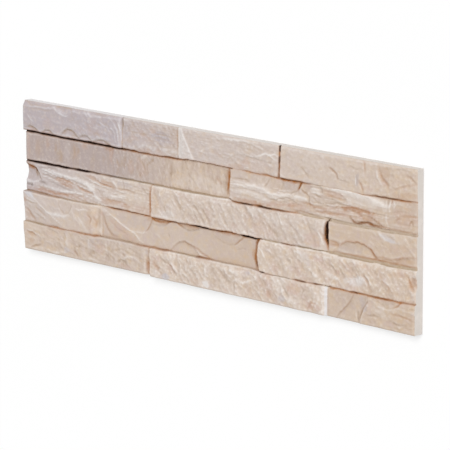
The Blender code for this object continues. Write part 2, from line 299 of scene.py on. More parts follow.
def stone_a(face):
    """Top left: proud and mauve, dressed back along its top and scalloped along its bottom."""
    edge = np.interp(face.u, [0, 44, 58, 74, 100, 144], [6, 4.5, 8, 4, 4.5, 3])
    top = eased((edge - face.v + 0.8 * ripple(face.u / 9, face.v / 9, 3)) / 5.5)
    face.rise -= 2.6 * top
    face.dress_end(139, 1.8, 5)
    face.pale += 0.12 * eased((face.u - 137) / 3) - 0.15 * top
    face.pale -= 0.3 * face.box(-5, 145, 1, 8, 3)
    face.cool += 0.2 * top
    face.blush += 0.1 * (1 - top)
    for u, width in ((17, 5), (39, 4), (76, 6), (98, 4), (122, 5)):
        face.patch((u, 27.6), (width, 1.3), tan=0.6, blush=0.3)
    face.ridge([(1, 1), (4, 3.5), (9, 5.8), (14, 5.6), (22, 4.3), (28, 4.8), (38, 4.2), (45, 1.5)], 0.08,
               (1.2, 3), 0.8, pale=0.12)
    face.crack([(2, 0.5), (9, 4), (15, 3.2), (28, 3.2), (40, 2.6)], 0.3, 0.7, tan=0.5)
    face.crack([(10, 7.4), (20, 6.4), (30, 7), (42, 5.8)], 0.25, 0.8, tan=0.4)
    face.ridge([(42, 0), (47, 4), (51, 7), (57, 8.7), (63, 8.6), (68, 7)], 0.2, (1.3, 3), 0.7, pale=0.6)
    face.ridge([(49, 2.5), (55, 5.5), (62, 6.2)], 0.15, (1.2, 1.4), 0.6, pale=0.5)
    face.crack([(47, 1.2), (54, 0.8), (60, 1.2), (66, 0.8), (70, 3), (73, 5.5)], 0.3, 0.7, tan=0.7)
    face.ridge([(85, -1), (89, 1.5), (93, 5), (99, 7)], 0.15, (1.3, 3), 0.6, pale=0.5)
    face.ridge([(92, 0.5), (98, 4), (101, 5)], 0.3, (1, 2), 0.6, pale=0.6)
    face.ridge([(103, 4.5), (110, 3.6), (118, 5.2)], 0.15, (1, 2), 0.6, pale=0.25)
    face.crack([(100, 2), (112, 1.5), (124, 2.5)], 0.2, 0.7, tan=0.4)
    face.ridge([(122, 1), (128, 4.5), (133, 8.5), (136, 13), (138, 19), (138, 23)], 0.25, (1.5, 3), 0.6,
               pale=0.6)
    face.ridge([(133, 2), (138, 6.5), (141, 13), (142, 22), (142, 30)], 0.2, (1.3, 2), 0.55, pale=0.45)
    face.crack([(136, 7), (139, 13), (139.6, 21), (140, 29)], 0.3, 0.6, tan=0.35)
    face.ridge([(128, 12), (133, 17), (134, 26)], 0.3, (1.5, 2), 0.55, pale=0.3)
    face.ridge([(112, 9), (121, 12), (128, 18)], 0.25, (1.5, 2), 0.55, pale=0.25)
    face.patch((36, 21), (12, 5), blush=0.3)
    face.patch((104, 17), (16, 8), 15, blush=0.3)
    face.ridge([(4, 13), (9, 17), (14, 20.5)], 0.35, (1.5, 2.5), 0.7, pale=0.4)
    face.ridge([(34, 14), (48, 16.5), (62, 17)], 0.3, (3, 4), 0.7, blush=0.3)
    for scallop in (
        [(4, 25.5), (9, 24.6), (14, 25.6), (21, 29)],
        [(27, 28.5), (33, 26), (38, 25.6), (44, 29.5)],
        [(55, 28), (60, 23), (65, 20.8), (70, 21.2), (75, 24), (82, 28)],
        [(81, 27), (87, 24.7), (93, 24.8), (101, 29)],
        [(101, 29.5), (108, 26.5), (116, 26), (122, 27.5), (127, 30.5)],
    ):
        # painted shade: gap and tan darken the foot of each scallop, with a little rust
        face.scarp(scallop, 1.1, 5, 0.9, rust=0.2, tan=1.1, gap=0.25)
    face.patch((68, 25), (9, 4), tan=0.25)
    face.patch((12, 27.5), (6, 2), rust=0.15)
    face.streaks(28, 6, 1.9, 0.15, face.box(68, 142, 4, 28, 16), 0.2, 0.3)
    face.streaks(4, 12, 2.6, 0.07, 1.0, 0.05, 0.2)
    face.grain(4, 0.11)


def stone_b(face):
    """Level and mauve, with a fine grain along it."""
    face.strata(2, 2.6, 0.14, 0.8, 0.15, 0.3)
    face.streaks(35, 6, 2.0, 0.12, 1.0, 0.15, 0.5)
    face.patch((200, 13), (13, 6), cool=0.5, dusk=0.15)
    face.patch((210, 24), (9, 4), honey=0.6)
    for u, v in ((164, 8), (150, 22), (186, 7), (196, 27), (174, 13)):
        face.patch((u, v), (7, 3), 10, blush=0.5)
    for places in (
        [(158, 12), (168, 13), (179, 12)],
        [(188, 9), (204, 10.5), (217, 12)],
        [(187, 13.5), (200, 14), (213, 15.5)],
    ):
        face.crack(places, 0.25, 0.8, tan=0.5)
    face.crack([(194, 20), (204, 22), (214, 21)], 0.25, 0.8, tan=0.4)
    face.scoop((172, 3), (22, 12), 0.35)
    face.scoop((206, 14), (18, 10), 0.3)
    face.ridge([(164, 27), (176, 22), (190, 27)], 0.3, (4, 3), 2.2, pale=0.2)
    face.ridge([(198, 26), (208, 23), (218, 25)], 0.3, (4, 3), 2.0, pale=0.3)
    face.patch((161, 18), (5, 3), blush=0.6)
    face.patch((183, 17), (4, 3), blush=0.6)
    face.patch((176, 28), (9, 2), rust=0.25)
    face.patch((150, 12), (6, 6), cool=0.2, dusk=0.3)
    face.patch((216, 10), (4, 8), honey=0.8)
    face.crack([(220.6, 3), (220.4, 16), (220.8, 22)], 0.3, 0.8, rust=0.35)
    face.grain(3.4, 0.17)


def stone_c(face):
    """Level, with a pale facet at its left end and a white ridge at its right end."""
    face.rise -= 0.5 * eased((226 - face.u) / 2)
    face.pale += 0.65 * face.box(221, 227.5, 0, 32, 1.5)
    triangle = eased((face.u - 226.5) / 1.5) * eased((227 + 0.62 * (face.v - 2) - face.u) / 1.5 + 0.5)
    face.rise += 0.5 * triangle
    face.pale += 0.35 * triangle
    face.ridge([(228, 4), (232, 12), (238, 21), (244, 28)], 0.15, (2, 2), 0.8, pale=0.45)
    face.crack([(227.6, 6), (227.8, 18), (227.2, 28)], 0.2, 0.6, tan=0.35)
    face.ridge([(326, 14.5), (333, 12), (338, 9.5), (344, 11), (349, 14), (354, 15)], 0.5, (2, 4), 0.9,
               pale=1.0)
    face.ridge([(341, 12), (346, 9.6), (350, 9), (355, 11)], 0.4, (1.5, 2), 0.7, pale=0.9)
    face.ridge([(268, 4.5), (290, 2.5), (310, 1.5), (320, 3), (334, 6)], 0.3, (2, 3), 0.9, pale=0.4)
    face.crack([(300, 3.5), (312, 3), (322, 5), (333, 8)], 0.25, 0.9, tan=0.4)
    face.scarp([(284, 27), (290, 20), (296, 16), (312, 14), (326, 16), (350, 17)], 0.4, 18, 0.9, tan=0.25)
    face.ridge([(242, 22), (256, 17), (272, 11), (284, 8)], 0.2, (4, 5), 1.5, pale=0.2)
    face.patch((325, 22), (28, 6), blush=0.45)
    face.patch((312, 21), (5, 3), rust=0.15, blush=0.3)
    face.patch((252, 20), (5, 3), blush=0.5)
    face.patch((275, 18), (6, 3), 20, rust=0.12)
    face.patch((300, 27), (12, 2), rust=0.2)
    face.strata(3, 3.1, 0.18, face.box(225, 330, -2, 32, 10), 0.15, 0.25)
    face.streaks(14, 12, 2.3, 0.14, 1.0, 0.1, 0.25)
    face.grain(3.4, 0.16)


def stone_d(face):
    """Level and thinning to the right, with cracks and a honey right end."""
    face.streaks(14, 7, 2.4, 0.07, 1.0, 0.1, 0.25)
    face.crack([(383, 16), (388, 19), (393, 24)], 0.4, 0.9, tan=0.6)
    face.crack([(419, 11.5), (424, 14), (428, 17), (430, 21)], 0.6, 0.9, tan=1.0, rust=0.4)
    face.crack([(427, 20), (434, 22), (447, 22)], 0.3, 0.8, tan=0.6)
    face.crack([(444, 6), (452, 9), (458, 8)], 0.25, 0.8, tan=0.3)
    face.patch((454, 17), (2.2, 5), 10, tan=0.55, cool=0.6)
    face.ridge([(451, 13), (452, 20), (453, 26)], 0.3, (1, 1.5), 0.7, pale=0.5)
    face.crack([(456, 19), (459, 23), (461.5, 29)], 0.5, 1.0, rust=0.55)
    face.crack([(460.5, 0), (463, 3), (462.5, 11)], 0.4, 0.9, rust=0.4)
    face.facet((462, 28), (461, 0), 0.4, 6)
    face.crack([(480, 3), (481, 9), (484, 14), (488, 17), (493, 22)], 0.6, 1.5, rust=0.42)
    face.ridge([(477, 6), (478, 13), (484, 20)], 0.3, (1.5, 1.2), 0.9, pale=0.4)
    face.scoop((490, 11), (9, 9), 0.5, 30)
    face.patch((486, 10), (5, 9), rust=0.14, honey=0.4)
    face.crack([(496, 22), (505, 19), (514, 16), (524, 14)], 0.25, 1.0, rust=0.25)
    face.crack([(512, 6), (519, 9), (525, 14)], 0.4, 1.0, tan=0.5, rust=0.25)
    face.crack([(500, 3), (508, 2.5), (516, 3)], 0.3, 0.9, tan=0.5)
    face.patch((512, 25), (14, 3), -6, rust=0.22, honey=0.5)
    face.patch((505, 14), (20, 8), honey=0.4, blush=0.25)
    face.patch((470, 25), (10, 2.5), blush=0.6)
    face.patch((400, 10), (18, 7), pale=0.12)
    face.grain(3.2, 0.15)


def stone_e(face):
    """Sunk and long, the darkest stone at its left end, with soft marks down it."""
    face.streaks(84, 16, 3.4, 0.03, 1.0, 0.0, 0.35)
    face.streaks(97, 30, 10, 0.14, 1.0, 0.0, 0.3)
    face.streaks(62, 6, 2.0, 0.12, face.box(130, 292, 28, 62, 20), 0.15, 0.4)
    for u, top, bottom, width, stain in (
        (20, 33, 57, 3.2, 0.3), (34, 34, 45, 2.0, 0.35), (46, 37, 48, 1.4, 0.35),
        (54, 46, 56, 2.6, 0.3), (73, 35, 52, 1.6, 0.5), (79, 38, 44, 1.2, 0.55),
        (88, 31, 37, 3.0, 0.35), (116, 41, 48, 1.5, 0.35), (137, 42, 55, 1.5, 0.45),
        (146, 36, 50, 1.5, 0.4), (154, 38, 45, 1.6, 0.35), (165, 39, 48, 1.4, 0.5),
        (168, 49, 55, 1.4, 0.4), (211, 34, 52, 1.8, 0.3), (262, 31, 38, 1.6, 0.3),
        (274, 34, 43, 1.3, 0.4),
    ):
        face.crack([(u, top), (u + 1, (top + bottom) / 2), (u - 0.5, bottom)], 0.12, width, tan=0.9 * stain,
                   blush=0.9 * stain, dusk=0.6 * stain, rust=0.15 * stain)
    face.crack([(117, 33.5), (126, 33.5), (130, 33), (129.4, 40)], 0.3, 1.2, rust=0.45)
    face.crack([(168, 36), (174, 43), (178, 51)], 0.35, 1.2, tan=0.5, blush=0.5)
    face.crack([(177, 44), (182, 39), (188, 35)], 0.25, 1.0, tan=0.5)
    face.crack([(236, 43), (242, 48), (247, 54)], 0.3, 1.0, tan=0.5)
    face.crack([(274, 41), (277, 44), (281, 46)], 0.4, 1.0, rust=0.35, blush=0.4)
    face.crack([(262, 51), (268, 51.5)], 0.3, 1.0, tan=0.4)
    face.patch((172, 46), (9, 9), 60, blush=0.6)
    face.patch((64, 42), (4, 10), pale=0.15)
    face.patch((16, 46), (8, 12), dusk=0.25, cool=0.2)
    face.patch((34, 38), (5, 6), blush=0.4, dusk=0.15)
    face.patch((53, 50), (4, 6), tan=0.35)
    face.patch((76, 42), (3, 9), blush=0.45, dusk=0.3)
    face.patch((90, 36), (5, 5), blush=0.6)
    face.patch((127, 40), (3, 8), blush=0.7, rust=0.08)
    face.patch((137, 48), (3, 9), dusk=0.4)
    face.patch((155, 46), (6, 8), blush=0.6)
    face.patch((212, 42), (3, 9), tan=0.35)
    face.patch((175, 34), (5, 2), -20, pale=0.4)
    face.patch((258, 50), (24, 7), 5, pale=0.25)
    face.patch((228, 53), (14, 4), pale=0.2)
    face.patch((6, 45), (3, 14), blush=0.5)
    face.patch((280, 52), (8, 5), 10, pale=0.2)
    face.crack([(290.4, 29), (290.4, 38), (290, 44), (289.2, 50), (288.6, 54)], 0.4, 1.1, rust=1.2, tan=0.6,
               gap=0.12)
    face.patch((288.6, 41), (2.2, 12), rust=0.3, tan=0.4)
    face.patch((287, 49), (2.6, 5), tan=0.5, blush=0.6)
    # painted shade: darker over the left part, which lies sunk under the proud stone above it
    face.dusk += 0.4 * face.box(-8, 200, 24, 66, 40)
    face.grain(3.6, 0.1)


def stone_f(face):
    """Strata with a smooth hollow, worn white crests and rusty beds under them."""
    face.strata(2, 2.9, 0.45, face.box(286, 372, 40, 62, 4), 0.3, 0.25)
    face.strata(3, 3.4, 0.5, face.box(396, 492, 28, 50, 6), 0.3, 0.25)
    face.strata(2, 3.1, 0.55, face.box(372, 490, 46, 62, 5), 0.1, 0.3)
    face.strata(0, 4.6, 0.3, face.box(492, 530, 28, 62, 6), 0.15, 0.2)
    face.scoop((360, 32), (27, 13), 1.7, -6)
    face.scoop((316, 33), (30, 8), 0.9)
    face.scoop((391, 33), (8, 6), 0.6)
    face.patch((392, 33), (7, 4), tan=0.35)
    face.patch((352, 38), (7, 6), honey=0.5)
    # painted shade inside the smooth hollow
    face.patch((368, 35), (10, 6), dusk=0.35)
    face.crack([(290, 37.5), (300, 38), (312, 37), (322, 41)], 0.3, 0.8, tan=0.45)
    face.crack([(337, 41), (341, 37), (342.5, 33)], 0.3, 0.8, tan=0.5)
    face.crack([(359, 32), (360, 36), (358, 41)], 0.25, 0.9, tan=0.4)
    face.ridge([(293, 43), (310, 43), (325, 42), (336, 43), (346, 46.5), (355, 47), (364, 45), (374, 44)],
               0.7, (2.5, 6), 3.0, pale=0.6)
    face.ridge([(296, 50), (316, 49), (334, 51), (342, 54)], 0.4, (3, 4), 2.6, pale=0.55)
    face.crack([(370, 43.6), (374, 41.4), (380, 39.4)], 0.35, 0.7, tan=1.2)
    face.crack([(343, 51.6), (352, 51.2), (358, 49.4), (364, 48), (369, 47.4), (373, 48.8), (381, 51)],
               0.5, 0.5, tan=1.3)
    face.crack([(300, 46.5), (316, 45.5), (330, 46)], 0.3, 0.7, tan=0.4)
    face.ridge([(375, 45), (384, 44.5), (392, 45)], 0.4, (2, 2.5), 1.8, pale=0.4)
    face.patch((318, 57.6), (26, 2.2), rust=0.4, blush=0.4)
    face.patch((352, 55.5), (22, 2.6), -3, rust=0.18, blush=0.8)
    face.patch((380, 54), (16, 4), rust=0.14, blush=0.7)
    face.scarp([(385.4, 28), (382.8, 33.5), (380.4, 38.4)], 0.7, 4, 1.0, rust=0.6, tan=0.5)
    face.crack([(385.4, 28), (383, 33.5), (380.8, 37.6)], 0.5, 1.1, rust=1.1, tan=0.7, gap=0.35)
    face.patch((371, 31.8), (14, 1.5), 1, rust=0.55, blush=0.4)
    face.crack([(384, 36), (387, 38.6), (391, 39.6), (394, 42)], 0.6, 0.65, tan=1.4, rust=0.3)
    face.crack([(394.5, 42), (394, 47), (396, 51)], 0.4, 0.8, tan=0.7)
    face.crack([(396, 37.5), (404, 39.5), (412, 42)], 0.35, 0.8, tan=0.7)
    face.crack([(398, 42), (403, 44.5), (408, 46)], 0.3, 0.8, tan=0.5)
    face.patch((402, 36), (6, 2.6), pale=0.5)
    face.patch((382, 45), (9, 3), pale=0.5)
    face.scarp([(408, 29), (411, 33), (411.5, 38)], 0.6, 4, 1.0, tan=0.8)
    face.ridge([(410, 30.5), (440, 30), (468, 33), (490, 38)], 0.9, (3, 7), 3.0, pale=0.6)
    face.patch((452, 35), (38, 7), 4, pale=0.45)
    face.scarp([(411, 33.2), (421, 33.6), (431, 33.4), (437, 35.4), (440, 38)], 0.7, 3, 0.7, rust=0.35)
    face.patch((425, 35.6), (14, 2.4), 3, rust=0.32, blush=0.4)
    face.crack([(412, 38), (422, 38.4), (430, 39), (438, 39.5)], 0.4, 0.8, rust=0.5)
    face.crack([(413, 41), (425, 41.5), (434, 42.5)], 0.35, 0.8, tan=0.7)
    face.crack([(414, 45.5), (430, 43.5), (447, 44)], 0.35, 0.8, tan=0.6)
    face.patch((452, 46.4), (22, 2.3), -1, rust=0.6)
    face.scarp([(428, 47), (442, 45), (456, 44.5), (470, 46)], 0.5, 4, 0.8, rust=0.4)
    face.crack([(384, 48), (395, 50), (405, 51), (415, 51)], 0.45, 1.1, rust=0.55)
    face.crack([(396, 55), (420, 54), (439, 53.5)], 0.4, 0.9, rust=0.45)
    face.crack([(374, 58), (384, 57.4), (396, 58.6), (407, 58.4)], 0.5, 0.8, tan=0.8, rust=0.2)
    face.patch((446, 52), (38, 4.5), rust=0.12, blush=0.7)
    face.crack([(455, 50), (461, 53), (472, 54)], 0.4, 0.9, rust=0.45)
    face.scarp([(463, 49), (470, 50), (476, 52.5), (481, 55), (487, 58)], 0.8, 4, 1.3, rust=0.6)
    face.crack([(445, 54.5), (449, 57.6), (454, 58.2), (460, 56.8), (467, 56), (474, 57.5), (482, 59)],
               0.9, 0.9, rust=1.1, tan=0.9, gap=0.45)
    face.crack([(470, 57.6), (486, 57.9), (506, 58), (530, 57.8)], 0.3, 0.7, rust=0.45, tan=0.8)
    face.ridge([(495, 31), (493.5, 36), (492, 39), (493, 44)], 0.3, (1.2, 1.2), 0.8, pale=0.5, honey=0.8)
    face.ridge([(489, 33), (488.5, 38)], 0.2, (1, 1), 0.8, pale=0.45)
    face.ridge([(497, 31), (499, 35), (497, 39)], 0.2, (1, 1), 0.8, pale=0.4)
    face.ridge([(489, 46), (488, 50), (491, 56)], 0.3, (1, 1), 1.2, pale=0.5)
    face.crack([(491.5, 31), (491, 36)], 0.4, 0.8, tan=0.7)
    face.crack([(495, 30), (495.6, 35)], 0.4, 0.9, rust=0.4)
    face.patch((512, 46), (16, 10), rust=0.08, blush=0.7, honey=0.3)
    face.crack([(506, 44), (518, 43), (528, 42.5)], 0.3, 0.9, rust=0.35)
    face.crack([(499, 51), (503, 47.5), (506, 47)], 0.35, 0.9, rust=0.3)
    face.crack([(516, 51), (519, 47.5), (521, 51)], 0.5, 0.8, tan=0.7, rust=0.3)
    face.grain(3.2, 0.13)


def stone_g(face):
    """Wavy beds, white on their crests and rusty between, with a cavity at the left end."""
    keep = eased((face.u - 23) / 5)
    face.strata(10, 3.6, 0.6, keep * face.box(0, 122, 58, 94, 20), 0.35, 0.3)
    face.strata(4, 3.3, 0.5, face.box(122, 190, 58, 94, 20), 0.3, 0.25)
    face.scoop((4, 72), (19, 8.5), 3.0, 8)
    # painted shade: dusk and gap darken the cavity and its rim, over rust stains
    face.patch((7, 74), (9, 8), cool=0.5, dusk=0.6)
    face.scarp([(0, 63.4), (7, 64.6), (13, 65.6), (16.6, 67), (19.5, 70.4), (23, 75.4)], 1.2, 8, 0.9,
               rust=0.8, tan=0.4)
    face.crack([(0, 64), (6, 65), (12, 66), (15.6, 67.2)], 0.4, 2.0, rust=0.9, blush=0.6, gap=0.26)
    face.patch((16.4, 67.8), (2.6, 2.2), 30, rust=0.9, blush=0.8, gap=0.75)
    face.patch((15.2, 71.5), (2.2, 3.8), -10, rust=0.2, tan=0.7, dusk=0.8, gap=0.15)
    face.patch((7, 67.6), (8, 2), 5, rust=0.3, blush=0.4)
    face.crack([(17, 68.6), (20, 72), (23.6, 76)], 0.4, 1.1, rust=0.2, tan=0.8, gap=0.35)
    # painted shade: the hook below the cavity is a dark shadow line
    face.crack([(0, 83.4), (6, 83.8), (11, 83.6)], 0.5, 0.9, dusk=1.0, gap=0.28)
    face.patch((10.4, 84.4), (1.7, 1.4), dusk=1.0, gap=0.32)
    face.patch((5, 88), (5, 3), cool=0.4, pale=0.2)
    face.crack([(19, 65.2), (26, 64.6), (36, 63.4), (44, 63), (48, 64.6)], 0.35, 0.8, dusk=0.9, gap=0.14)
    face.crack([(26, 71.8), (33, 71), (44, 72.6), (52, 72)], 0.35, 0.8, dusk=0.9, gap=0.14)
    face.crack([(21, 79.4), (27, 79.6), (32, 80.6)], 0.45, 0.9, dusk=1.0, gap=0.25)
    face.crack([(32, 76.4), (42, 78), (52, 80), (64, 82), (74, 80.4)], 0.35, 0.8, dusk=0.9, gap=0.12)
    face.crack([(15, 84.5), (28, 84.6), (40, 84)], 0.35, 0.8, tan=0.6)
    face.patch((56, 74.5), (17, 4.2), 8, rust=0.3, tan=0.2, blush=0.4)
    face.crack([(46, 73.5), (56, 72), (68, 74), (74, 77)], 0.4, 0.9, rust=0.4)
    face.crack([(50, 77), (60, 78), (70, 80)], 0.4, 0.9, rust=0.35)
    face.patch((45, 87.6), (40, 2.2), 1, rust=0.3)
    face.crack([(14, 88), (30, 86.4), (46, 88.4), (62, 87), (78, 85.6), (86, 86.4), (93, 91)], 0.4, 0.8,
               rust=0.4)
    face.crack([(76, 74), (81, 78), (90, 79.2), (102, 81.6)], 0.6, 0.9, rust=0.65)
    face.ridge([(26, 67), (50, 68.6), (78, 70), (92, 73), (101, 78), (106, 84)], 0.8, (4, 3), 2.0, pale=0.5)
    face.ridge([(28, 82.6), (50, 84.4), (72, 84), (88, 83.4)], 0.4, (2, 2), 1.2, pale=0.5)
    face.ridge([(102, 81), (107, 85), (112, 86)], 0.4, (2, 2), 1.6, pale=0.9)
    face.patch((97, 74), (7, 4), 20, pale=0.55)
    face.patch((97, 64.6), (11, 2.6), 5, rust=0.28, honey=0.5)
    face.patch((124, 68), (12, 3), 8, rust=0.34, honey=0.5)
    face.crack([(104, 66.5), (112, 69), (122, 70), (133, 71.6)], 0.5, 0.8, rust=0.5)
    face.ridge([(128, 63.5), (133, 67), (137, 71)], 0.5, (2, 2), 1.2, pale=0.7)
    face.crack([(137, 71.4), (150, 70.4), (162, 71.6)], 0.35, 0.8, rust=0.25, tan=0.3)
    face.ridge([(116, 78), (130, 79.4), (146, 77)], 0.4, (2, 3), 1.8, pale=0.4)
    face.patch((124, 85.4), (13, 3), 2, rust=0.28, honey=0.4)
    face.patch((147, 86.4), (8, 2.6), 6, rust=0.32, honey=0.4)
    face.patch((170, 86.6), (14, 3.4), rust=0.15, blush=0.6)
    face.crack([(114, 82), (128, 84), (142, 83), (155, 87)], 0.4, 0.7, rust=0.3)
    face.crack([(144, 62), (146, 67), (145, 70)], 0.3, 0.8, tan=0.5)
    face.crack([(170, 65), (176, 69), (182, 72)], 0.45, 0.8, tan=0.8)
    face.crack([(108, 76), (113, 80), (115, 76)], 0.3, 1.2, tan=0.4)
    face.patch((150, 66), (16, 3), cool=0.3)
    face.patch((160, 76), (20, 4), pale=0.25)
    face.patch((182, 77), (1.6, 14), rust=0.4)
    face.crack([(183, 62), (182.4, 72), (182.8, 80), (182.6, 91)], 0.4, 1.0, rust=0.6, tan=0.6)
    face.grain(3.0, 0.15)


def stone_h(face):
    """Proud and hewn, with a white top edge and a right end that rounds off into the gap."""
    face.dress_top(65, 1.0)
    face.rise -= 2.2 * eased((face.u - 404) / 13) ** 2
    # painted shade: the black crescent where this end rounds off into the deep joint, over a rust stain
    face.crack([(416.4, 61.5), (414.2, 65), (413, 70), (413, 75), (414.2, 80), (416.4, 83)], 1.4, 1.4,
               rust=1.3, gap=0.7)
    flat = 1 - 0.7 * face.box(388, 420, 74, 92, 6)
    face.hewn(54, 1.0, (38, 12), (15, 4), flat)
    for places, width, stain in (
        ([(212, 63), (218, 70), (225, 79), (229, 89)], 2.6, 0.35),
        ([(231, 65), (238, 72), (250, 75)], 2.0, 0.4),
        ([(236, 78), (241, 84), (247, 90)], 0.9, 0.45),
        ([(241, 76), (246, 83), (253, 90)], 0.9, 0.45),
        ([(246, 74), (252, 82), (259, 90)], 0.9, 0.45),
        ([(252, 72), (259, 80), (267, 90)], 1.4, 0.35),
        ([(197, 76), (203, 83), (210, 89)], 1.6, 0.3),
        ([(283, 65), (290, 72), (296, 80), (299, 88)], 2.2, 0.35),
        ([(276, 73), (284, 81), (291, 88)], 1.2, 0.3),
        ([(290, 63), (296, 67), (303, 71)], 1.0, 0.4),
        ([(336, 76), (348, 81), (360, 89)], 1.6, 0.35),
        ([(364, 68), (374, 75), (384, 84), (388, 89)], 1.8, 0.35),
        ([(388, 64), (394, 72), (399, 80), (402, 88)], 1.4, 0.3),
    ):
        face.crack(places, 0.35, width, tan=stain)
    face.crack([(311, 65), (313, 69), (318, 70)], 0.4, 1.0, tan=0.6)
    face.patch((190, 78), (6, 14), honey=0.9)
    face.patch((192, 79), (3, 2), rust=0.2)
    face.patch((262, 80), (8, 4), 55, blush=1.0)
    face.patch((298, 84), (6, 4), blush=0.7, rust=0.08)
    face.patch((206, 86), (8, 4), pale=0.25, cool=0.2)
    face.patch((230, 66), (10, 3), 10, blush=0.5)
    face.patch((330, 82), (22, 5), 10, blush=0.35)
    face.patch((322, 66), (10, 4), pale=0.3)
    face.patch((348, 70), (14, 5), pale=0.25)
    face.patch((398, 82), (11, 6), blush=1.0)
    face.patch((340, 63), (40, 2), tan=0.3)
    face.crack([(407, 72), (411, 78), (414, 83), (417, 89)], 0.4, 0.9, rust=0.55)
    face.ridge([(404, 71), (409, 79), (413, 88)], 0.25, (1.5, 2), 0.7, pale=0.3)
    face.ridge([(410, 71), (414, 79), (418, 88)], 0.25, (1.5, 2), 0.7, pale=0.35)
    face.grain(2.8, 0.17)


def stone_i(face):
    """Smooth and sunk, with a rusty wave where a layer has split off its foot."""
    face.scarp([(432, 82), (436, 79), (440, 77), (446, 75.8), (454, 75.5), (462, 76), (468, 78), (472, 81),
                (476, 85), (482, 88)], 0.9, 9, 1.1, rust=0.85)
    face.scarp([(477, 84), (488, 84.5), (497, 85), (503, 83.5), (510, 81), (520, 79.6), (528, 79.5)],
               0.7, 7, 0.85, rust=0.6)
    face.crack([(470, 80), (474, 84), (479, 87)], 0.5, 1.4, rust=0.5)
    face.crack([(418, 79.4), (425, 79), (431, 80.4), (430, 82.4), (422, 82.8)], 0.4, 0.9, rust=0.5)
    face.patch((425, 81.4), (6, 1.8), rust=0.25)
    face.patch((450, 82), (16, 4.5), dusk=0.25)
    face.patch((440, 85), (20, 3), cool=0.25)
    face.ridge([(480, 61), (483, 65), (488, 68), (496, 69.4), (508, 68.6)], 0.2, (3, 3), 1.5, pale=0.4,
               cool=0.3)
    face.patch((492, 66.6), (9, 2.6), 14, pale=0.2, cool=0.5)
    face.crack([(487, 62), (492, 65), (500, 66)], 0.3, 0.8, tan=0.4)
    face.ridge([(511, 62), (515, 66), (518, 71)], 0.3, (2, 3), 1.0, pale=0.2)
    face.patch((514, 84.6), (14, 2.8), -4, rust=0.22, honey=0.5)
    face.patch((506, 75), (16, 6), blush=0.5, honey=0.3)
    face.patch((490, 86), (12, 1.4), rust=0.2)
    face.crack([(425, 88.2), (470, 88.4), (535, 88)], 0.3, 0.8, rust=0.7, tan=0.5)
    face.streaks(12, 20, 3, 0.07)
    face.streaks(40, 8, 2.5, 0.14, face.box(470, 530, 60, 82, 12), 0.2, 0.25)
    face.grain(4.5, 0.07)


def stone_j(face):
    """Proud at its left end, split by a long white arris, with a shell-shaped hollow."""
    face.facet((6, 94), (52, 118), 1.6, 20)
    face.ridge([(4, 91), (12, 97), (20, 102), (28, 106.5), (36, 110), (44, 114), (52, 118)], 0.25,
               (1.7, 1.7), 0.55, pale=0.8)
    face.patch((5, 94.5), (11, 3), 15, pale=0.6, cool=0.7)
    face.ridge([(-1, 98.6), (5, 100.4), (10, 101.6), (17, 101)], 0.35, (2, 2), 0.8, pale=0.5)
    face.crack([(-2, 100), (4, 101.6), (10, 102.8), (17, 102)], 0.35, 0.8, tan=0.7)
    face.patch((-1, 101), (2.4, 3), rust=0.4)
    face.crack([(-2, 108), (4, 111), (8, 115.4), (14, 120)], 0.5, 1.2, rust=0.35, tan=0.4)
    face.patch((3, 115), (5, 6), tan=0.35, blush=0.5)
    face.crack([(14, 106), (22, 109), (30, 114)], 0.3, 0.9, rust=0.15, tan=0.35)
    face.crack([(12, 112), (20, 114.4), (30, 118)], 0.3, 0.9, tan=0.4)
    face.scoop((59, 92), (12, 15), 0.9)
    face.crack([(48.5, 93), (50, 99), (53, 104), (58, 107), (64, 106), (68, 100), (70, 94)], 0.2, 0.8,
               tan=0.5)
    face.scoop((38, 92), (26, 10), 0.6, 12)
    face.patch((50, 100), (22, 7), 10, dusk=0.22)
    face.ridge([(30, 108.4), (44, 109.6), (58, 109.4), (64, 108)], 0.4, (2, 3), 2.2, pale=0.55, cool=0.2)
    face.ridge([(69, 95), (69.5, 102), (73, 108), (80, 113), (88, 119)], 0.3, (2, 4), 0.9, pale=0.15)
    face.ridge([(74, 105.5), (79, 108), (85, 113), (90, 119)], 0.2, (1.5, 2.5), 1.5, pale=0.35)
    face.ridge([(71, 99.4), (79, 100.6), (89, 98.4), (96, 99)], 0.25, (1.4, 2), 0.7, pale=0.5)
    # painted shade: greyer below the pale line
    face.patch((82, 96), (11, 3), dusk=0.2)
    face.patch((98, 108), (9, 11), rust=0.15, honey=0.4)
    face.crack([(92, 102), (97, 106), (95, 112)], 0.4, 1.0, rust=0.25, tan=0.3)
    face.crack([(100, 104), (104, 109), (103, 115)], 0.3, 1.0, rust=0.25)
    face.patch((50, 117), (30, 3), honey=0.5)
    face.dress_end(97, 2.6 - 1.2 * (face.v / COURSE_HEIGHT - 3.5), 13)
    # painted shade: a grey line beside the right end's pale wall
    face.crack([(107.4, 94), (107.2, 100), (107, 106), (108, 112)], 0.2, 1.3, tan=0.5)
    face.ridge([(101, 93), (107, 93.4), (112, 95)], 0.2, (2, 2), 1.2, pale=0.3)
    face.patch((110, 115), (2.4, 5), pale=0.3)
    face.patch((109.4, 99.4), (2, 2.4), rust=0.25, blush=0.4)
    face.streaks(24, 16, 3.2, 0.1)
    face.grain(4, 0.1)


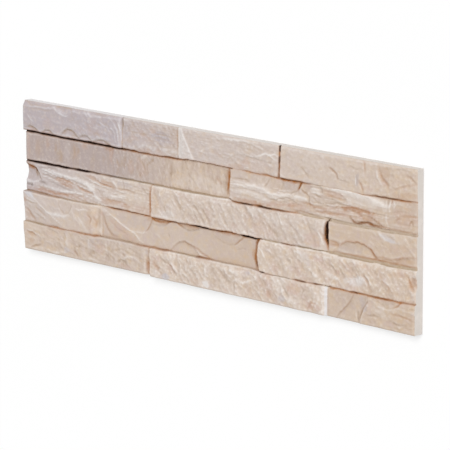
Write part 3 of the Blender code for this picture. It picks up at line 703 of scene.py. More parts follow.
def stone_k(face):
    """Sunk and smooth, with a second white arris and scallops along its top edge."""
    face.facet((118, 93), (168, 116), 0.6, 12)
    face.ridge([(117, 93.4), (124, 97), (132, 100.4), (142, 105), (152, 109), (160, 111.4), (167, 115.4)],
               0.25, (1.7, 1.7), 0.6, pale=0.85)
    face.ridge([(119, 98.6), (123, 99), (127, 98)], 0.2, (1.5, 1.5), 0.7, pale=0.4)
    face.patch((115, 94), (5, 2), 10, pale=0.4)
    face.ridge([(160, 111.4), (168, 117.4), (172, 119)], 0.3, (2, 2), 0.7, pale=0.4)
    face.crack([(113, 97), (116, 101), (117, 106), (120, 110), (124, 115), (129, 118), (137, 119)], 0.3,
               1.2, rust=0.25, tan=0.5)
    face.patch((117.6, 108), (2, 3), rust=0.2)
    face.patch((144, 112), (22, 5), 22, blush=0.9)
    face.crack([(128, 106), (140, 112), (150, 114)], 0.25, 0.8, tan=0.35, blush=0.4)
    face.scoop((157, 94), (30, 15.5), 1.0, 8)
    face.patch((156, 100), (22, 6), 8, dusk=0.12, cool=0.12)
    face.ridge([(156, 109.6), (164, 109.4), (172, 108.8), (177, 107)], 0.2, (2, 2), 0.8, pale=0.2)
    face.scarp([(175, 107.6), (179, 103.6), (182, 98.6), (185.5, 92)], 0.4, 5, 0.6, rust=0.5, tan=0.9)
    face.patch((182, 94), (5, 2), rust=0.25)
    face.scarp([(216, 91), (208, 94), (204, 97), (196, 98.6), (186, 98.4)], 0.4, 4, 0.7, tan=1.2, dusk=0.9)
    face.crack([(184, 91.6), (188, 94), (194, 95.4), (200, 94.6), (207, 92.6)], 0.5, 0.9, rust=0.75,
               tan=0.4)
    face.patch((194, 93.6), (10, 1.4), rust=0.45, blush=0.4)
    face.crack([(203, 95), (208, 93.4), (216, 91.8)], 0.5, 0.8, rust=0.65, tan=0.4)
    face.crack([(216, 90.6), (220, 92.6), (224, 94.6), (229, 96)], 0.5, 0.8, rust=0.6, tan=0.6)
    face.scarp([(258, 91.6), (250, 94.4), (244, 96.6), (237, 97.6), (231, 96.6), (225, 94)], 0.5, 4, 0.75,
               tan=1.4, dusk=0.9)
    face.patch((238, 93.4), (14, 1.8), rust=0.35, blush=0.4)
    face.scarp([(310, 92), (304, 97.4), (298, 101.4), (290, 102.6), (280, 101.6), (272, 98), (265, 94)],
               0.25, 5, 0.6, tan=1.0)
    face.crack([(298, 101.4), (304, 97), (310, 92)], 0.4, 0.8, rust=0.45)
    face.patch((291, 92.4), (20, 1.6), rust=0.4)
    face.patch((292, 97), (14, 3), cool=0.12)
    face.ridge([(186, 106), (194, 109), (200, 114), (206, 119)], 0.15, (3, 3), 1.2, pale=0.12)
    face.patch((192, 101), (10, 5), pale=0.12)
    face.scarp([(211, 119), (216, 114), (222, 110), (229, 109), (236, 110.2), (242, 112.6), (248, 117),
                (251, 120)], 0.8, 7, 0.75, tan=0.5, rust=0.3)
    face.crack([(228, 109), (235, 110.2), (242, 112.4)], 0.3, 0.9, rust=0.35)
    face.crack([(241, 112), (248, 114.2), (255, 117.4), (264, 120)], 0.4, 0.8, rust=0.45)
    face.ridge([(244, 114.6), (250, 118), (256, 119)], 0.3, (1.2, 1.2), 0.8, pale=0.4)
    face.crack([(207, 104), (210, 108)], 0.2, 0.8, tan=0.35)
    face.crack([(300, 106), (308, 103), (314, 104)], 0.2, 0.8, tan=0.25)
    face.patch((322.6, 107.4), (3, 7), rust=0.4, blush=0.3)
    face.crack([(330.4, 88), (328, 94), (326.2, 98)], 0.6, 1.5, rust=1.2, gap=0.4)
    face.crack([(327, 96), (325.6, 101), (325, 106), (325, 111), (326.6, 117), (328, 121)], 0.5, 1.3,
               rust=1.2, tan=0.4, gap=0.22)
    face.crack([(326.8, 112), (327, 115), (327.2, 118)], 0.5, 0.7, gap=0.7)
    face.patch((300, 118), (24, 2), honey=0.7)
    face.grain(6, 0.06)


def stone_l(face):
    """Proud and hewn, with a white top edge and rusty pockets towards its right end."""
    face.dress_top(96, 0.9)
    face.hewn(46, 1.0, (30, 10), (12, 3.6))
    face.ridge([(329, 98), (334, 102), (339, 108)], 0.4, (1.5, 2), 0.9, pale=0.6)
    face.crack([(360, 99), (368, 105), (376, 112), (380, 119)], 0.4, 1.8, tan=0.4)
    face.patch((352, 115), (4, 4), 50, blush=1.0)
    face.patch((378, 114), (7, 5), 50, blush=0.9)
    face.patch((402, 99), (14, 2.6), 8, blush=0.7)
    face.patch((341, 106), (10, 6), honey=0.3)
    face.patch((388, 100), (8, 6), 40, pale=0.2, cool=0.2)
    face.patch((430, 107), (5, 2), 10, blush=1.2, rust=0.15)
    face.crack([(432, 104), (437, 109), (438, 112)], 0.5, 1.3, tan=0.7)
    face.crack([(416, 100), (424, 104), (428, 108)], 0.3, 1.2, tan=0.4)
    face.patch((422, 112), (9, 2.4), 15, pale=0.5)
    face.patch((438, 99), (9, 3.4), 20, rust=0.1, blush=0.4)
    face.patch((452, 112), (12, 5), pale=0.55, cool=0.35)
    face.crack([(447, 107), (452, 109), (456, 107)], 0.3, 0.8, tan=0.5)
    face.patch((458, 97), (12, 2.6), blush=0.8, rust=0.06)
    face.crack([(460, 103), (465, 108), (468, 114), (474, 120)], 0.6, 1.8, rust=0.3, tan=0.35)
    face.crack([(462, 104), (464, 108)], 0.4, 0.9, tan=0.8)
    face.crack([(479, 99), (486, 107), (492, 112), (497, 117)], 0.5, 1.5, rust=0.32)
    face.patch((480, 116), (8, 4), tan=0.35, honey=0.5)
    face.patch((497, 114), (6, 4), honey=0.8, rust=0.12)
    face.patch((505, 98), (12, 2.4), -8, rust=0.15, honey=0.4)
    face.scoop((522, 104), (7, 8), 1.0, 20)
    face.patch((520, 104), (5, 6.4), rust=0.3, honey=0.6)
    face.crack([(515, 97), (517, 102), (519, 106), (522, 109)], 0.5, 0.9, rust=0.55)
    face.patch((516, 114), (9, 3.6), tan=0.15)
    face.grain(2.6, 0.18)


def stone_m(face):
    """Softly worn, with a stained hollow at its left end and a rusty right end that falls back."""
    face.scoop((12, 138), (18, 10), 0.5, 10)
    face.scoop((60, 128), (32, 9), 0.4, 6)
    face.scoop((95, 132), (16, 11), 0.4)
    face.ridge([(1, 130.6), (10, 131), (17, 134), (25, 136.4)], 0.4, (3, 2), 0.9, pale=0.5)
    face.crack([(2, 132), (10, 132.6), (16, 135.4)], 0.3, 0.9, rust=0.25)
    face.patch((8, 134.6), (7, 3), 6, rust=0.2, honey=0.4)
    face.patch((9, 142), (3.4, 3), rust=0.18)
    face.crack([(6, 149), (14, 145.4), (24, 143)], 0.4, 0.9, tan=0.6, rust=0.1)
    face.ridge([(2, 127), (10, 127.6), (22, 129)], 0.2, (2, 3), 1.0, pale=0.25)
    face.ridge([(26, 138.6), (44, 137), (58, 139)], 0.3, (3, 4), 0.8, tan=0.2)
    face.ridge([(24, 146), (44, 148), (60, 146)], 0.3, (2, 2), 1.0, pale=0.35)
    face.ridge([(61, 126), (61, 133), (62, 141)], 0.25, (3, 3), 2.0, pale=0.3)
    face.patch((62, 143), (6, 3), cool=0.5, pale=0.15)
    face.crack([(71, 141.6), (76, 144), (78, 148)], 0.45, 1.2, rust=0.28, tan=0.3)
    face.crack([(72, 139), (82, 136), (92, 138)], 0.25, 0.9, tan=0.3)
    face.ridge([(93, 126), (92.4, 132), (94, 138)], 0.25, (3, 3), 1.8, pale=0.3)
    face.patch((98, 130), (7, 6), cool=0.25)
    face.ridge([(86, 148), (98, 146), (112, 148)], 0.3, (2, 2), 0.9, pale=0.25)
    face.patch((110, 134), (8, 7), blush=0.9)
    face.ridge([(119, 127), (119, 133), (120, 139)], 0.3, (2, 2), 1.0, pale=0.4, honey=0.6)
    face.patch((110, 128), (5, 3), cool=0.4)
    face.crack([(134, 144), (140, 141), (146, 142), (152, 146)], 0.5, 1.2, tan=0.7)
    face.ridge([(142, 139.4), (150, 135.6), (158, 134.6), (167, 139)], 0.4, (3, 4), 1.2, pale=0.45)
    face.patch((148, 146.4), (12, 2.6), 6, blush=0.8)
    face.patch((34, 132), (10, 5), blush=0.35)
    face.crack([(128, 133), (136, 131), (144, 130)], 0.2, 0.9, tan=0.3)
    face.patch((178, 139.4), (2.3, 8), rust=0.6, tan=0.3)
    face.crack([(179, 120), (179.2, 131)], 0.3, 1.0, tan=1.2, rust=0.5)
    face.crack([(176, 134), (175.6, 141)], 0.2, 0.9, rust=0.4)
    face.crack([(180.4, 138), (180.8, 150)], 0.4, 0.9, rust=1.0, tan=0.4)
    face.patch((176, 128), (1.6, 2.6), cool=0.4)
    face.dress_end(173, 1.6, 6)
    face.streaks(18, 11, 2.6, 0.15, 1.0, 0.12, 0.3)
    face.streaks(100, 18, 8, 0.25, face.box(40, 170, 118, 154, 20), 0.15, 0.3)
    face.grain(4, 0.13)


def stone_n(face):
    """Proud and hewn, with pink flats, and a right end that is dressed back to white."""
    face.dress_top(127, 1.0)
    flats = face.box(262, 276, 138, 150, 4) + face.box(364, 386, 124, 139, 6)
    face.hewn(50, 1.2, (34, 13), (14, 4), 1 - 0.6 * np.clip(flats, 0, 1))
    face.patch((189, 131), (8, 3), 10, blush=1.0)
    face.patch((190, 138), (6, 3), 40, rust=0.24, blush=0.5)
    face.crack([(188, 136), (193, 141), (199, 147)], 0.4, 1.3, tan=0.5, rust=0.15)
    face.crack([(196, 130), (201, 133), (207, 134)], 0.4, 0.9, tan=0.7)
    face.scarp([(206, 132), (212, 136.4), (218, 141)], 0.6, 5, 0.8, rust=0.55)
    face.patch((210, 139), (6, 6), 40, blush=1.0)
    face.patch((203, 147), (5, 3), cool=0.8, pale=0.2)
    face.patch((190, 146), (6, 3), pale=0.25)
    face.patch((240, 135), (18, 9), tan=0.22)
    face.patch((244, 146), (7, 3), 10, rust=0.2)
    face.patch((259, 145), (4, 3), pale=1.0, cool=0.3)
    face.ridge([(258, 126), (257.6, 134), (258.6, 142)], 0.4, (3, 3), 2.2, pale=0.4, blush=0.3)
    face.patch((269, 142), (4.4, 4), honey=0.7, tan=0.2)
    face.patch((267, 130), (3.6, 8), tan=0.45)
    face.patch((285, 134), (15, 5), tan=0.28)
    face.crack([(274, 128), (282, 134), (292, 140), (296, 147)], 0.4, 1.6, tan=0.35)
    face.crack([(296.4, 138), (296.6, 147)], 0.5, 1.2, tan=0.8)
    face.patch((284, 147.4), (7, 2), blush=1.0)
    face.ridge([(298, 134.6), (308, 136.6), (321, 131.6)], 0.5, (2.5, 3), 1.5, pale=0.6)
    face.patch((311, 138), (6, 3), -10, honey=0.9)
    face.patch((314, 126.4), (4, 2), cool=0.6, dusk=0.2)
    face.patch((300, 128), (24, 3), pale=0.25)
    face.patch((338, 131), (12, 7), 30, blush=0.9)
    face.crack([(329, 125), (335, 132), (340, 138), (344, 144)], 0.4, 1.8, tan=0.45)
    face.patch((341, 141.6), (3.4, 2.6), 40, blush=1.2, rust=0.22)
    face.patch((353, 130), (9, 8), 50, pale=0.42)
    face.patch((358, 143), (5, 4), cool=0.5)
    face.crack([(355, 126), (361, 133), (367, 139)], 0.5, 1.2, tan=0.55)
    face.patch((374, 131), (14, 6), -10, blush=1.0)
    face.patch((367, 133), (2, 4), rust=0.2)
    face.crack([(383, 126), (386, 131), (384, 138)], 0.4, 1.0, tan=0.5)
    face.patch((371, 143), (12, 3.6), pale=0.3)
    face.patch((399, 144), (10, 4.4), blush=1.2, rust=0.08)
    face.crack([(391, 148), (396, 141), (404, 140)], 0.3, 0.9, rust=0.2)
    face.patch((407, 131), (6, 8), honey=0.6, pale=0.2)
    face.dress_end(410.5, 1.8, 5)
    face.crack([(410.6, 123), (410.8, 132), (411, 140)], 0.15, 1.0, tan=0.6)
    face.tint(eased((face.u - 412) / 1.2), pale=1.1, cool=0.7)
    face.grain(2.6, 0.18)


def stone_o(face):
    """Smooth, with a long stained crack, then a step up to a rougher honey right end."""
    face.tint(eased((417.8 - face.u) / 1.2), pale=1.0, cool=0.7)
    face.scarp([(427, 151), (433, 144), (438, 139), (443, 134), (447, 129), (451.4, 121)], 0.4, 6, 0.65,
               rust=0.3, tan=1.2)
    face.patch((423, 123.4), (5, 1.3), rust=0.5)
    face.patch((462, 130), (5, 8), -20, cool=0.45)
    face.ridge([(452.6, 138), (453.6, 144), (454, 150)], 0.2, (1, 1.5), 0.7, pale=0.4)
    face.facet((455, 150), (466, 122), -0.9, 3)
    face.crack([(467.4, 122), (468, 128), (464, 133), (460, 139), (457, 149)], 0.4, 0.9, rust=0.2, tan=0.6)
    face.patch((456, 144), (1.3, 5.5), tan=0.7)
    face.patch((440, 130), (16, 8), dusk=0.15)
    rough = face.box(467, 540, 118, 154, 4)
    face.hewn(22, 0.55, (30, 10), (12, 3.4), rough)
    face.strata(5, 4.2, 0.2, face.box(500, 530, 124, 152, 6), 0.1, 0.3)
    face.patch((470, 131), (3, 4), blush=1.0, pale=0.2)
    face.scoop((492, 120), (17, 9.5), 1.0, 4)
    face.patch((491, 124), (12, 3.4), 4, tan=0.35, cool=0.2)
    face.crack([(476, 123), (482, 127), (491, 129.4), (500, 129)], 0.2, 0.7, tan=0.6)
    face.ridge([(474, 126), (482, 130), (492, 131.4), (502, 130.6)], 0.25, (1.5, 3), 0.9, pale=0.35)
    face.crack([(500, 128.6), (505, 126.2), (510, 121.6)], 0.5, 0.8, rust=0.65)
    face.crack([(498, 134), (510, 134.4), (524, 135.6)], 0.35, 0.9, rust=0.35)
    face.crack([(494, 141), (506, 143), (520, 142)], 0.3, 0.9, tan=0.4)
    face.crack([(466, 141), (476, 139), (484, 140)], 0.35, 1.0, tan=0.5)
    face.patch((512, 138), (14, 10), honey=0.5, rust=0.05)
    face.patch((484, 136), (12, 4), 8, pale=0.25)
    face.grain(3.4, 0.12)


# work is the function that works a stone's face. left and right are the stone's thickness at its left and
# right end, and lean is how much thicker it is at its top than at its bottom. cool, dusk and honey are how
# far its tint goes from sand to each of those, at its left and right end; dusk also paints shade, as on the
# left end of the sunk stone under the proud top left one. frost is how worn it is all over, and edge how
# pale its top edge is painted, a painted highlight where its top arris catches the light.
Stone = namedtuple("Stone", "work left right lean cool dusk honey frost edge")
STONES = [
    [
        Stone(stone_a, 12.6, 12.3, 0.0, (1.0, 1.0), (0.15, 0.05), (0.0, 0.0), 0.0, 0.1),
        Stone(stone_b, 10.7, 10.5, -0.2, (0.7, 0.45), (0.1, 0.05), (0.0, 0.3), 0.0, 0.2),
        Stone(stone_c, 11.2, 10.9, -0.3, (0.45, 0.25), (0.0, 0.0), (0.0, 0.1), 0.15, 0.3),
        Stone(stone_d, 10.9, 9.9, -0.2, (0.2, 0.0), (0.0, 0.0), (0.0, 0.9), 0.15, 0.4),
    ],
    [
        Stone(stone_e, 9.0, 8.7, -0.1, (0.4, -0.1), (1.4, -0.5), (0.0, 0.2), 0.0, 0.0),
        Stone(stone_f, 11.6, 8.8, 0.2, (0.15, 0.0), (0.0, 0.2), (-0.1, 1.0), 0.05, 0.1),
    ],
    [
        Stone(stone_g, 9.4, 9.9, 0.0, (0.8, 0.0), (0.15, 0.0), (-0.3, 0.4), 0.15, 0.2),
        Stone(stone_h, 12.5, 11.6, -0.4, (0.1, 0.1), (0.05, 0.05), (0.2, 0.1), 0.1, 0.8),
        Stone(stone_i, 9.6, 9.6, 0.2, (0.0, 0.0), (0.1, 0.0), (1.0, 0.9), 0.05, 0.5),
    ],
    [
        Stone(stone_j, 14.2, 11.9, 1.2, (0.4, 0.0), (0.0, 0.0), (-0.1, 0.4), 0.15, 0.4),
        Stone(stone_k, 9.2, 8.8, 0.0, (0.1, 0.0), (0.0, 0.1), (0.0, 0.5), 0.0, 0.0),
        Stone(stone_l, 12.4, 10.4, -0.4, (0.0, 0.0), (0.0, 0.0), (0.3, 0.8), 0.15, 1.1),
    ],
    [
        Stone(stone_m, 13.8, 10.6, 2.4, (0.0, 0.1), (0.0, 0.0), (0.2, 0.0), 0.0, 0.3),
        Stone(stone_n, 12.6, 12.0, -0.4, (0.05, 0.05), (0.0, 0.0), (0.2, 0.4), 0.13, 0.6),
        Stone(stone_o, 10.2, 11.2, 0.2, (0.0, 0.0), (0.1, 0.0), (0.6, 0.8), 0.0, 0.3),
    ],
]

# A joint is a table of places along it. Each has the place along the joint, the joint's place across, half
# its width, its depth under the lower of the faces beside it, its stain, which is rust above 0 and ochre
# below 0, and its black, which is painted shade where the joint lies deep in shadow.
COURSE_JOINTS = [
    [
        (0, 30.3, 0.75, 0.8, 1.0, 1.0), (7, 30.4, 0.85, 3.0, 1.0, 1.0), (40, 30.4, 1.05, 3.0, 1.0, 1.0),
        (60, 30.7, 0.8, 2.8, 1.0, 0.95), (80, 30.6, 1.0, 2.8, 1.0, 0.95), (108, 30.75, 1.0, 2.8, 1.0, 0.9),
        (130, 30.8, 1.05, 2.8, 1.0, 0.9), (138, 30.9, 0.8, 1.8, 1.0, 0.8), (152, 31.1, 0.6, 1.3, 1.0, 0.45),
        (164, 31.2, 0.55, 1.2, 1.0, 0.3), (184, 31.3, 0.4, 0.8, 1.0, 0.1), (198, 31.2, 0.4, 0.8, 1.0, 0.1),
        (208, 30.7, 0.6, 1.1, 1.1, 0.25), (218, 30.8, 0.55, 1.0, 1.1, 0.2),
        (226, 30.2, 0.35, 0.5, 0.9, 0.0), (236, 29.1, 0.3, 0.3, 0.5, 0.0),
        (250, 28.9, 0.25, 0.15, 0.4, 0.0), (266, 29.1, 0.35, 0.3, 0.6, 0.0),
        (290, 29.6, 0.4, 0.4, 0.8, 0.0), (296, 29.4, 0.3, 0.15, 0.3, 0.0), (306, 29.5, 0.3, 0.15, 0.3, 0.0),
        (314, 29.8, 0.4, 0.5, 0.8, 0.0), (326, 30.3, 0.35, 0.3, 0.6, 0.0), (338, 30.0, 0.45, 0.5, 0.9, 0.0),
        (354, 30.7, 0.5, 0.6, 1.0, 0.0), (358, 30.7, 0.5, 1.0, 1.0, 0.35), (371, 30.7, 0.45, 0.9, 1.0, 0.3),
        (386, 30.8, 0.4, 0.8, 1.0, 0.15), (391, 30.6, 0.4, 0.5, 0.5, 0.1), (404, 30.6, 0.3, 0.3, -0.3, 0.0),
        (412, 30.3, 0.3, 0.2, 0.0, 0.0), (450, 30.3, 0.3, 0.2, 0.0, 0.0), (460, 31.1, 0.3, 0.3, 0.4, 0.0),
        (470, 31.1, 0.35, 0.5, 0.6, 0.1), (478, 30.6, 0.45, 0.9, 0.9, 0.4),
        (498, 30.3, 0.45, 0.9, 0.9, 0.4), (502, 30.1, 0.45, 0.8, 1.1, 0.2), (514, 30.0, 0.4, 0.7, 1.1, 0.1),
        (520, 29.8, 0.3, 0.3, 0.6, 0.0), (525, 29.8, 0.3, 0.3, 0.5, 0.0),
    ],
    [
        (0, 60.5, 0.5, 0.8, 0.8, 0.8), (6, 60.6, 0.55, 2.0, 0.8, 1.0), (16, 60.6, 0.65, 2.4, 0.6, 1.15),
        (44, 60.9, 0.6, 2.4, 0.6, 1.15), (60, 60.4, 0.6, 2.2, 0.6, 1.1), (70, 60.3, 0.5, 1.5, 0.5, 0.7),
        (76, 60.3, 0.6, 1.8, 0.5, 1.0), (90, 60.2, 0.65, 1.8, 0.5, 1.1), (96, 60.0, 0.5, 1.2, 0.4, 0.6),
        (106, 60.5, 0.5, 1.2, 0.3, 0.6), (111, 60.4, 0.4, 0.8, 0.3, 0.2), (124, 60.4, 0.5, 1.2, 0.3, 0.5),
        (144, 60.3, 0.45, 0.9, -0.4, 0.3), (160, 60.1, 0.4, 0.7, -0.4, 0.15),
        (176, 60.4, 0.4, 0.6, -0.45, 0.15), (190, 60.1, 0.4, 0.5, -0.4, 0.05),
        (204, 60.0, 0.3, 0.3, -0.3, 0.0), (222, 59.9, 0.4, 0.5, -0.6, 0.0),
        (272, 59.4, 0.35, 0.3, -0.45, 0.0), (284, 59.0, 0.3, 0.15, -0.3, 0.0),
        (292, 58.9, 0.4, 0.3, 0.4, 0.0), (294, 60.3, 0.4, 0.8, 1.0, 0.2), (304, 60.9, 0.4, 0.9, 1.0, 0.4),
        (308, 60.8, 0.4, 1.2, 1.0, 0.75), (318, 60.7, 0.4, 1.2, 1.0, 0.7),
        (322, 60.6, 0.35, 0.7, 0.9, 0.15), (326, 60.5, 0.35, 0.7, 0.9, 0.2),
        (330, 60.5, 0.45, 1.2, 1.0, 0.85), (343, 60.6, 0.4, 1.2, 1.0, 0.75),
        (347, 60.6, 0.35, 0.8, 1.0, 0.25), (354, 60.5, 0.4, 0.9, 1.0, 0.4),
        (361, 60.7, 0.4, 0.8, 0.9, 0.35), (368, 60.4, 0.3, 0.4, 0.7, 0.0), (378, 59.9, 0.4, 0.4, 0.6, 0.0),
        (386, 60.1, 0.7, 0.35, -0.4, 0.0), (398, 60.2, 1.0, 0.35, -0.4, 0.0),
        (414, 60.2, 1.1, 0.3, -0.25, 0.0), (424, 60.7, 1.3, 0.55, -0.4, 0.0),
        (470, 60.9, 1.3, 0.55, -0.4, 0.0), (490, 60.7, 1.2, 0.55, -0.4, 0.0),
        (508, 60.0, 0.9, 0.4, -0.3, 0.0), (525, 59.6, 0.7, 0.35, -0.35, 0.0),
    ],
    [
        (0, 90.3, 0.35, 0.7, 0.3, 0.2), (14, 90.8, 0.3, 0.5, 0.3, 0.1), (30, 91.3, 0.35, 0.6, 0.4, 0.2),
        (40, 91.8, 0.25, 0.3, 0.25, 0.0), (50, 91.7, 0.3, 0.5, 0.3, 0.1),
        (62, 91.9, 0.25, 0.25, -0.35, 0.0), (74, 91.8, 0.2, 0.1, -0.15, 0.0),
        (84, 91.6, 0.2, 0.1, -0.1, 0.0), (92, 91.6, 0.25, 0.2, -0.3, 0.0),
        (114, 91.0, 0.25, 0.2, -0.2, 0.0), (121, 91.2, 0.35, 0.5, 0.7, 0.0),
        (128, 91.3, 0.45, 0.9, 1.0, 0.3), (137, 91.3, 0.5, 1.1, 1.0, 0.5), (142, 91.5, 0.4, 0.7, 1.0, 0.15),
        (154, 91.8, 0.4, 0.8, 1.0, 0.2), (164, 91.8, 0.4, 0.7, 1.0, 0.15), (176, 92.1, 0.3, 0.5, 1.0, 0.0),
        (184, 92.0, 0.45, 0.6, 1.1, 0.05), (196, 92.3, 0.4, 0.5, 1.1, 0.0),
        (208, 92.1, 0.45, 0.7, 1.1, 0.1), (217, 91.7, 0.5, 0.9, 1.1, 0.3),
        (223, 92.0, 0.25, 0.15, 0.4, 0.0), (236, 91.8, 0.5, 0.6, 1.0, 0.1), (241, 91.5, 0.6, 1.2, 1.0, 0.6),
        (246, 91.3, 0.7, 2.2, 1.0, 1.25), (261, 91.5, 0.8, 2.2, 1.0, 1.35), (265, 91.8, 0.6, 1.0, 1.1, 0.3),
        (276, 91.4, 0.55, 0.9, 1.2, 0.3), (284, 90.8, 0.5, 0.7, 1.2, 0.1),
        (296, 90.7, 0.45, 0.6, 1.2, 0.05), (304, 91.2, 0.4, 0.5, 1.2, 0.0),
        (307, 91.6, 0.85, 2.4, 1.0, 1.3), (323, 91.6, 0.9, 2.4, 1.0, 1.35),
        (327, 91.2, 0.4, 0.7, 1.0, 0.15), (331, 90.7, 0.4, 0.4, 0.8, 0.05),
        (338, 90.9, 0.5, 0.4, -0.45, 0.0), (352, 91.0, 0.5, 0.5, -0.55, 0.1),
        (359, 91.0, 0.5, 0.6, 0.3, 0.15), (366, 90.7, 0.55, 0.8, 0.8, 0.3),
        (373, 90.6, 0.5, 0.6, 0.6, 0.15), (384, 90.6, 0.6, 0.5, -0.6, 0.1),
        (396, 90.4, 0.45, 0.4, -0.45, 0.05), (412, 90.2, 0.4, 0.4, -0.4, 0.0),
        (420, 90.4, 0.7, 0.5, -0.4, 0.0), (430, 90.8, 1.1, 0.5, -0.45, 0.0),
        (500, 91.0, 1.1, 0.55, -0.5, 0.0), (525, 90.6, 0.9, 0.55, -0.6, 0.0),
    ],
    [
        (0, 121.3, 0.2, 0.15, -0.15, 0.0), (12, 121.4, 0.3, 0.3, -0.35, 0.0),
        (26, 122.1, 0.3, 0.3, -0.5, 0.0), (40, 122.5, 0.35, 0.35, 0.55, 0.0),
        (48, 122.6, 0.4, 0.5, 0.75, 0.0), (58, 122.4, 0.3, 0.4, 0.6, 0.0), (64, 122.1, 0.25, 0.3, 0.3, 0.0),
        (80, 122.3, 0.35, 0.4, 0.6, 0.0), (90, 122.8, 0.4, 0.45, 0.6, 0.0), (98, 122.5, 0.3, 0.4, 0.5, 0.0),
        (104, 122.2, 0.4, 0.5, 0.9, 0.05), (109, 121.9, 0.3, 0.3, 0.4, 0.0),
        (113, 121.9, 0.15, 0.05, 0.0, 0.0), (132, 121.9, 0.15, 0.05, 0.0, 0.0),
        (150, 121.9, 0.25, 0.2, -0.3, 0.0), (166, 122.6, 0.3, 0.3, 0.45, 0.0),
        (178, 122.2, 0.35, 0.4, 0.6, 0.0), (186, 121.8, 0.35, 0.45, 0.5, 0.0),
        (193, 121.9, 0.35, 0.5, 0.7, 0.1), (199, 121.8, 0.4, 0.6, 0.8, 0.2),
        (203, 121.7, 0.35, 0.5, 0.7, 0.15), (208, 121.4, 0.3, 0.3, 0.3, 0.0),
        (224, 121.5, 0.25, 0.25, -0.4, 0.0), (241, 121.4, 0.25, 0.25, -0.4, 0.0),
        (246, 121.4, 0.4, 0.6, 0.8, 0.35), (252, 121.4, 0.4, 0.6, 0.8, 0.15),
        (260, 121.3, 0.35, 0.5, 0.7, 0.1), (268, 121.3, 0.25, 0.2, 0.2, 0.0),
        (280, 121.4, 0.2, 0.1, -0.15, 0.0), (316, 121.2, 0.2, 0.1, -0.1, 0.0),
        (326, 121.5, 0.25, 0.1, 0.2, 0.0), (331, 122.0, 0.35, 0.6, 0.6, 0.4),
        (334, 122.1, 0.4, 0.9, 0.8, 0.85), (337, 122.1, 0.35, 0.8, 0.8, 0.5),
        (340, 122.4, 0.3, 0.3, 0.6, 0.0), (347, 122.4, 0.3, 0.3, 0.5, 0.0),
        (352, 122.4, 0.3, 0.3, -0.45, 0.0), (370, 122.5, 0.25, 0.2, -0.35, 0.0),
        (374, 122.5, 0.3, 0.3, 0.4, 0.0), (379, 122.6, 0.35, 0.6, 0.7, 0.4),
        (384, 122.7, 0.35, 0.7, 0.8, 0.55), (389, 122.5, 0.3, 0.6, 0.7, 0.5),
        (392, 122.5, 0.3, 0.3, 0.4, 0.0), (398, 122.4, 0.3, 0.4, 0.5, 0.1),
        (403, 122.3, 0.4, 0.7, 0.8, 0.5), (408, 122.0, 0.35, 0.5, 0.5, 0.15),
        (418, 122.3, 0.35, 0.35, -0.6, 0.0), (420, 122.7, 0.45, 0.5, 0.95, 0.0),
        (444, 122.8, 0.4, 0.5, 0.85, 0.0), (449, 122.5, 0.45, 0.8, 1.1, 0.3),
        (453, 122.4, 0.45, 0.9, 1.1, 0.5), (457, 122.4, 0.4, 0.6, 1.1, 0.1),
        (472, 122.6, 0.4, 0.5, 0.85, 0.1), (478, 122.6, 0.45, 0.7, 1.1, 0.3),
        (490, 122.6, 0.45, 0.7, 1.1, 0.3), (498, 122.4, 0.4, 0.4, 0.9, 0.0),
        (506, 122.5, 0.4, 0.5, 0.9, 0.0), (514, 122.0, 0.3, 0.3, 0.5, 0.0),
        (525, 121.7, 0.35, 0.4, 0.6, 0.05),
    ],
]

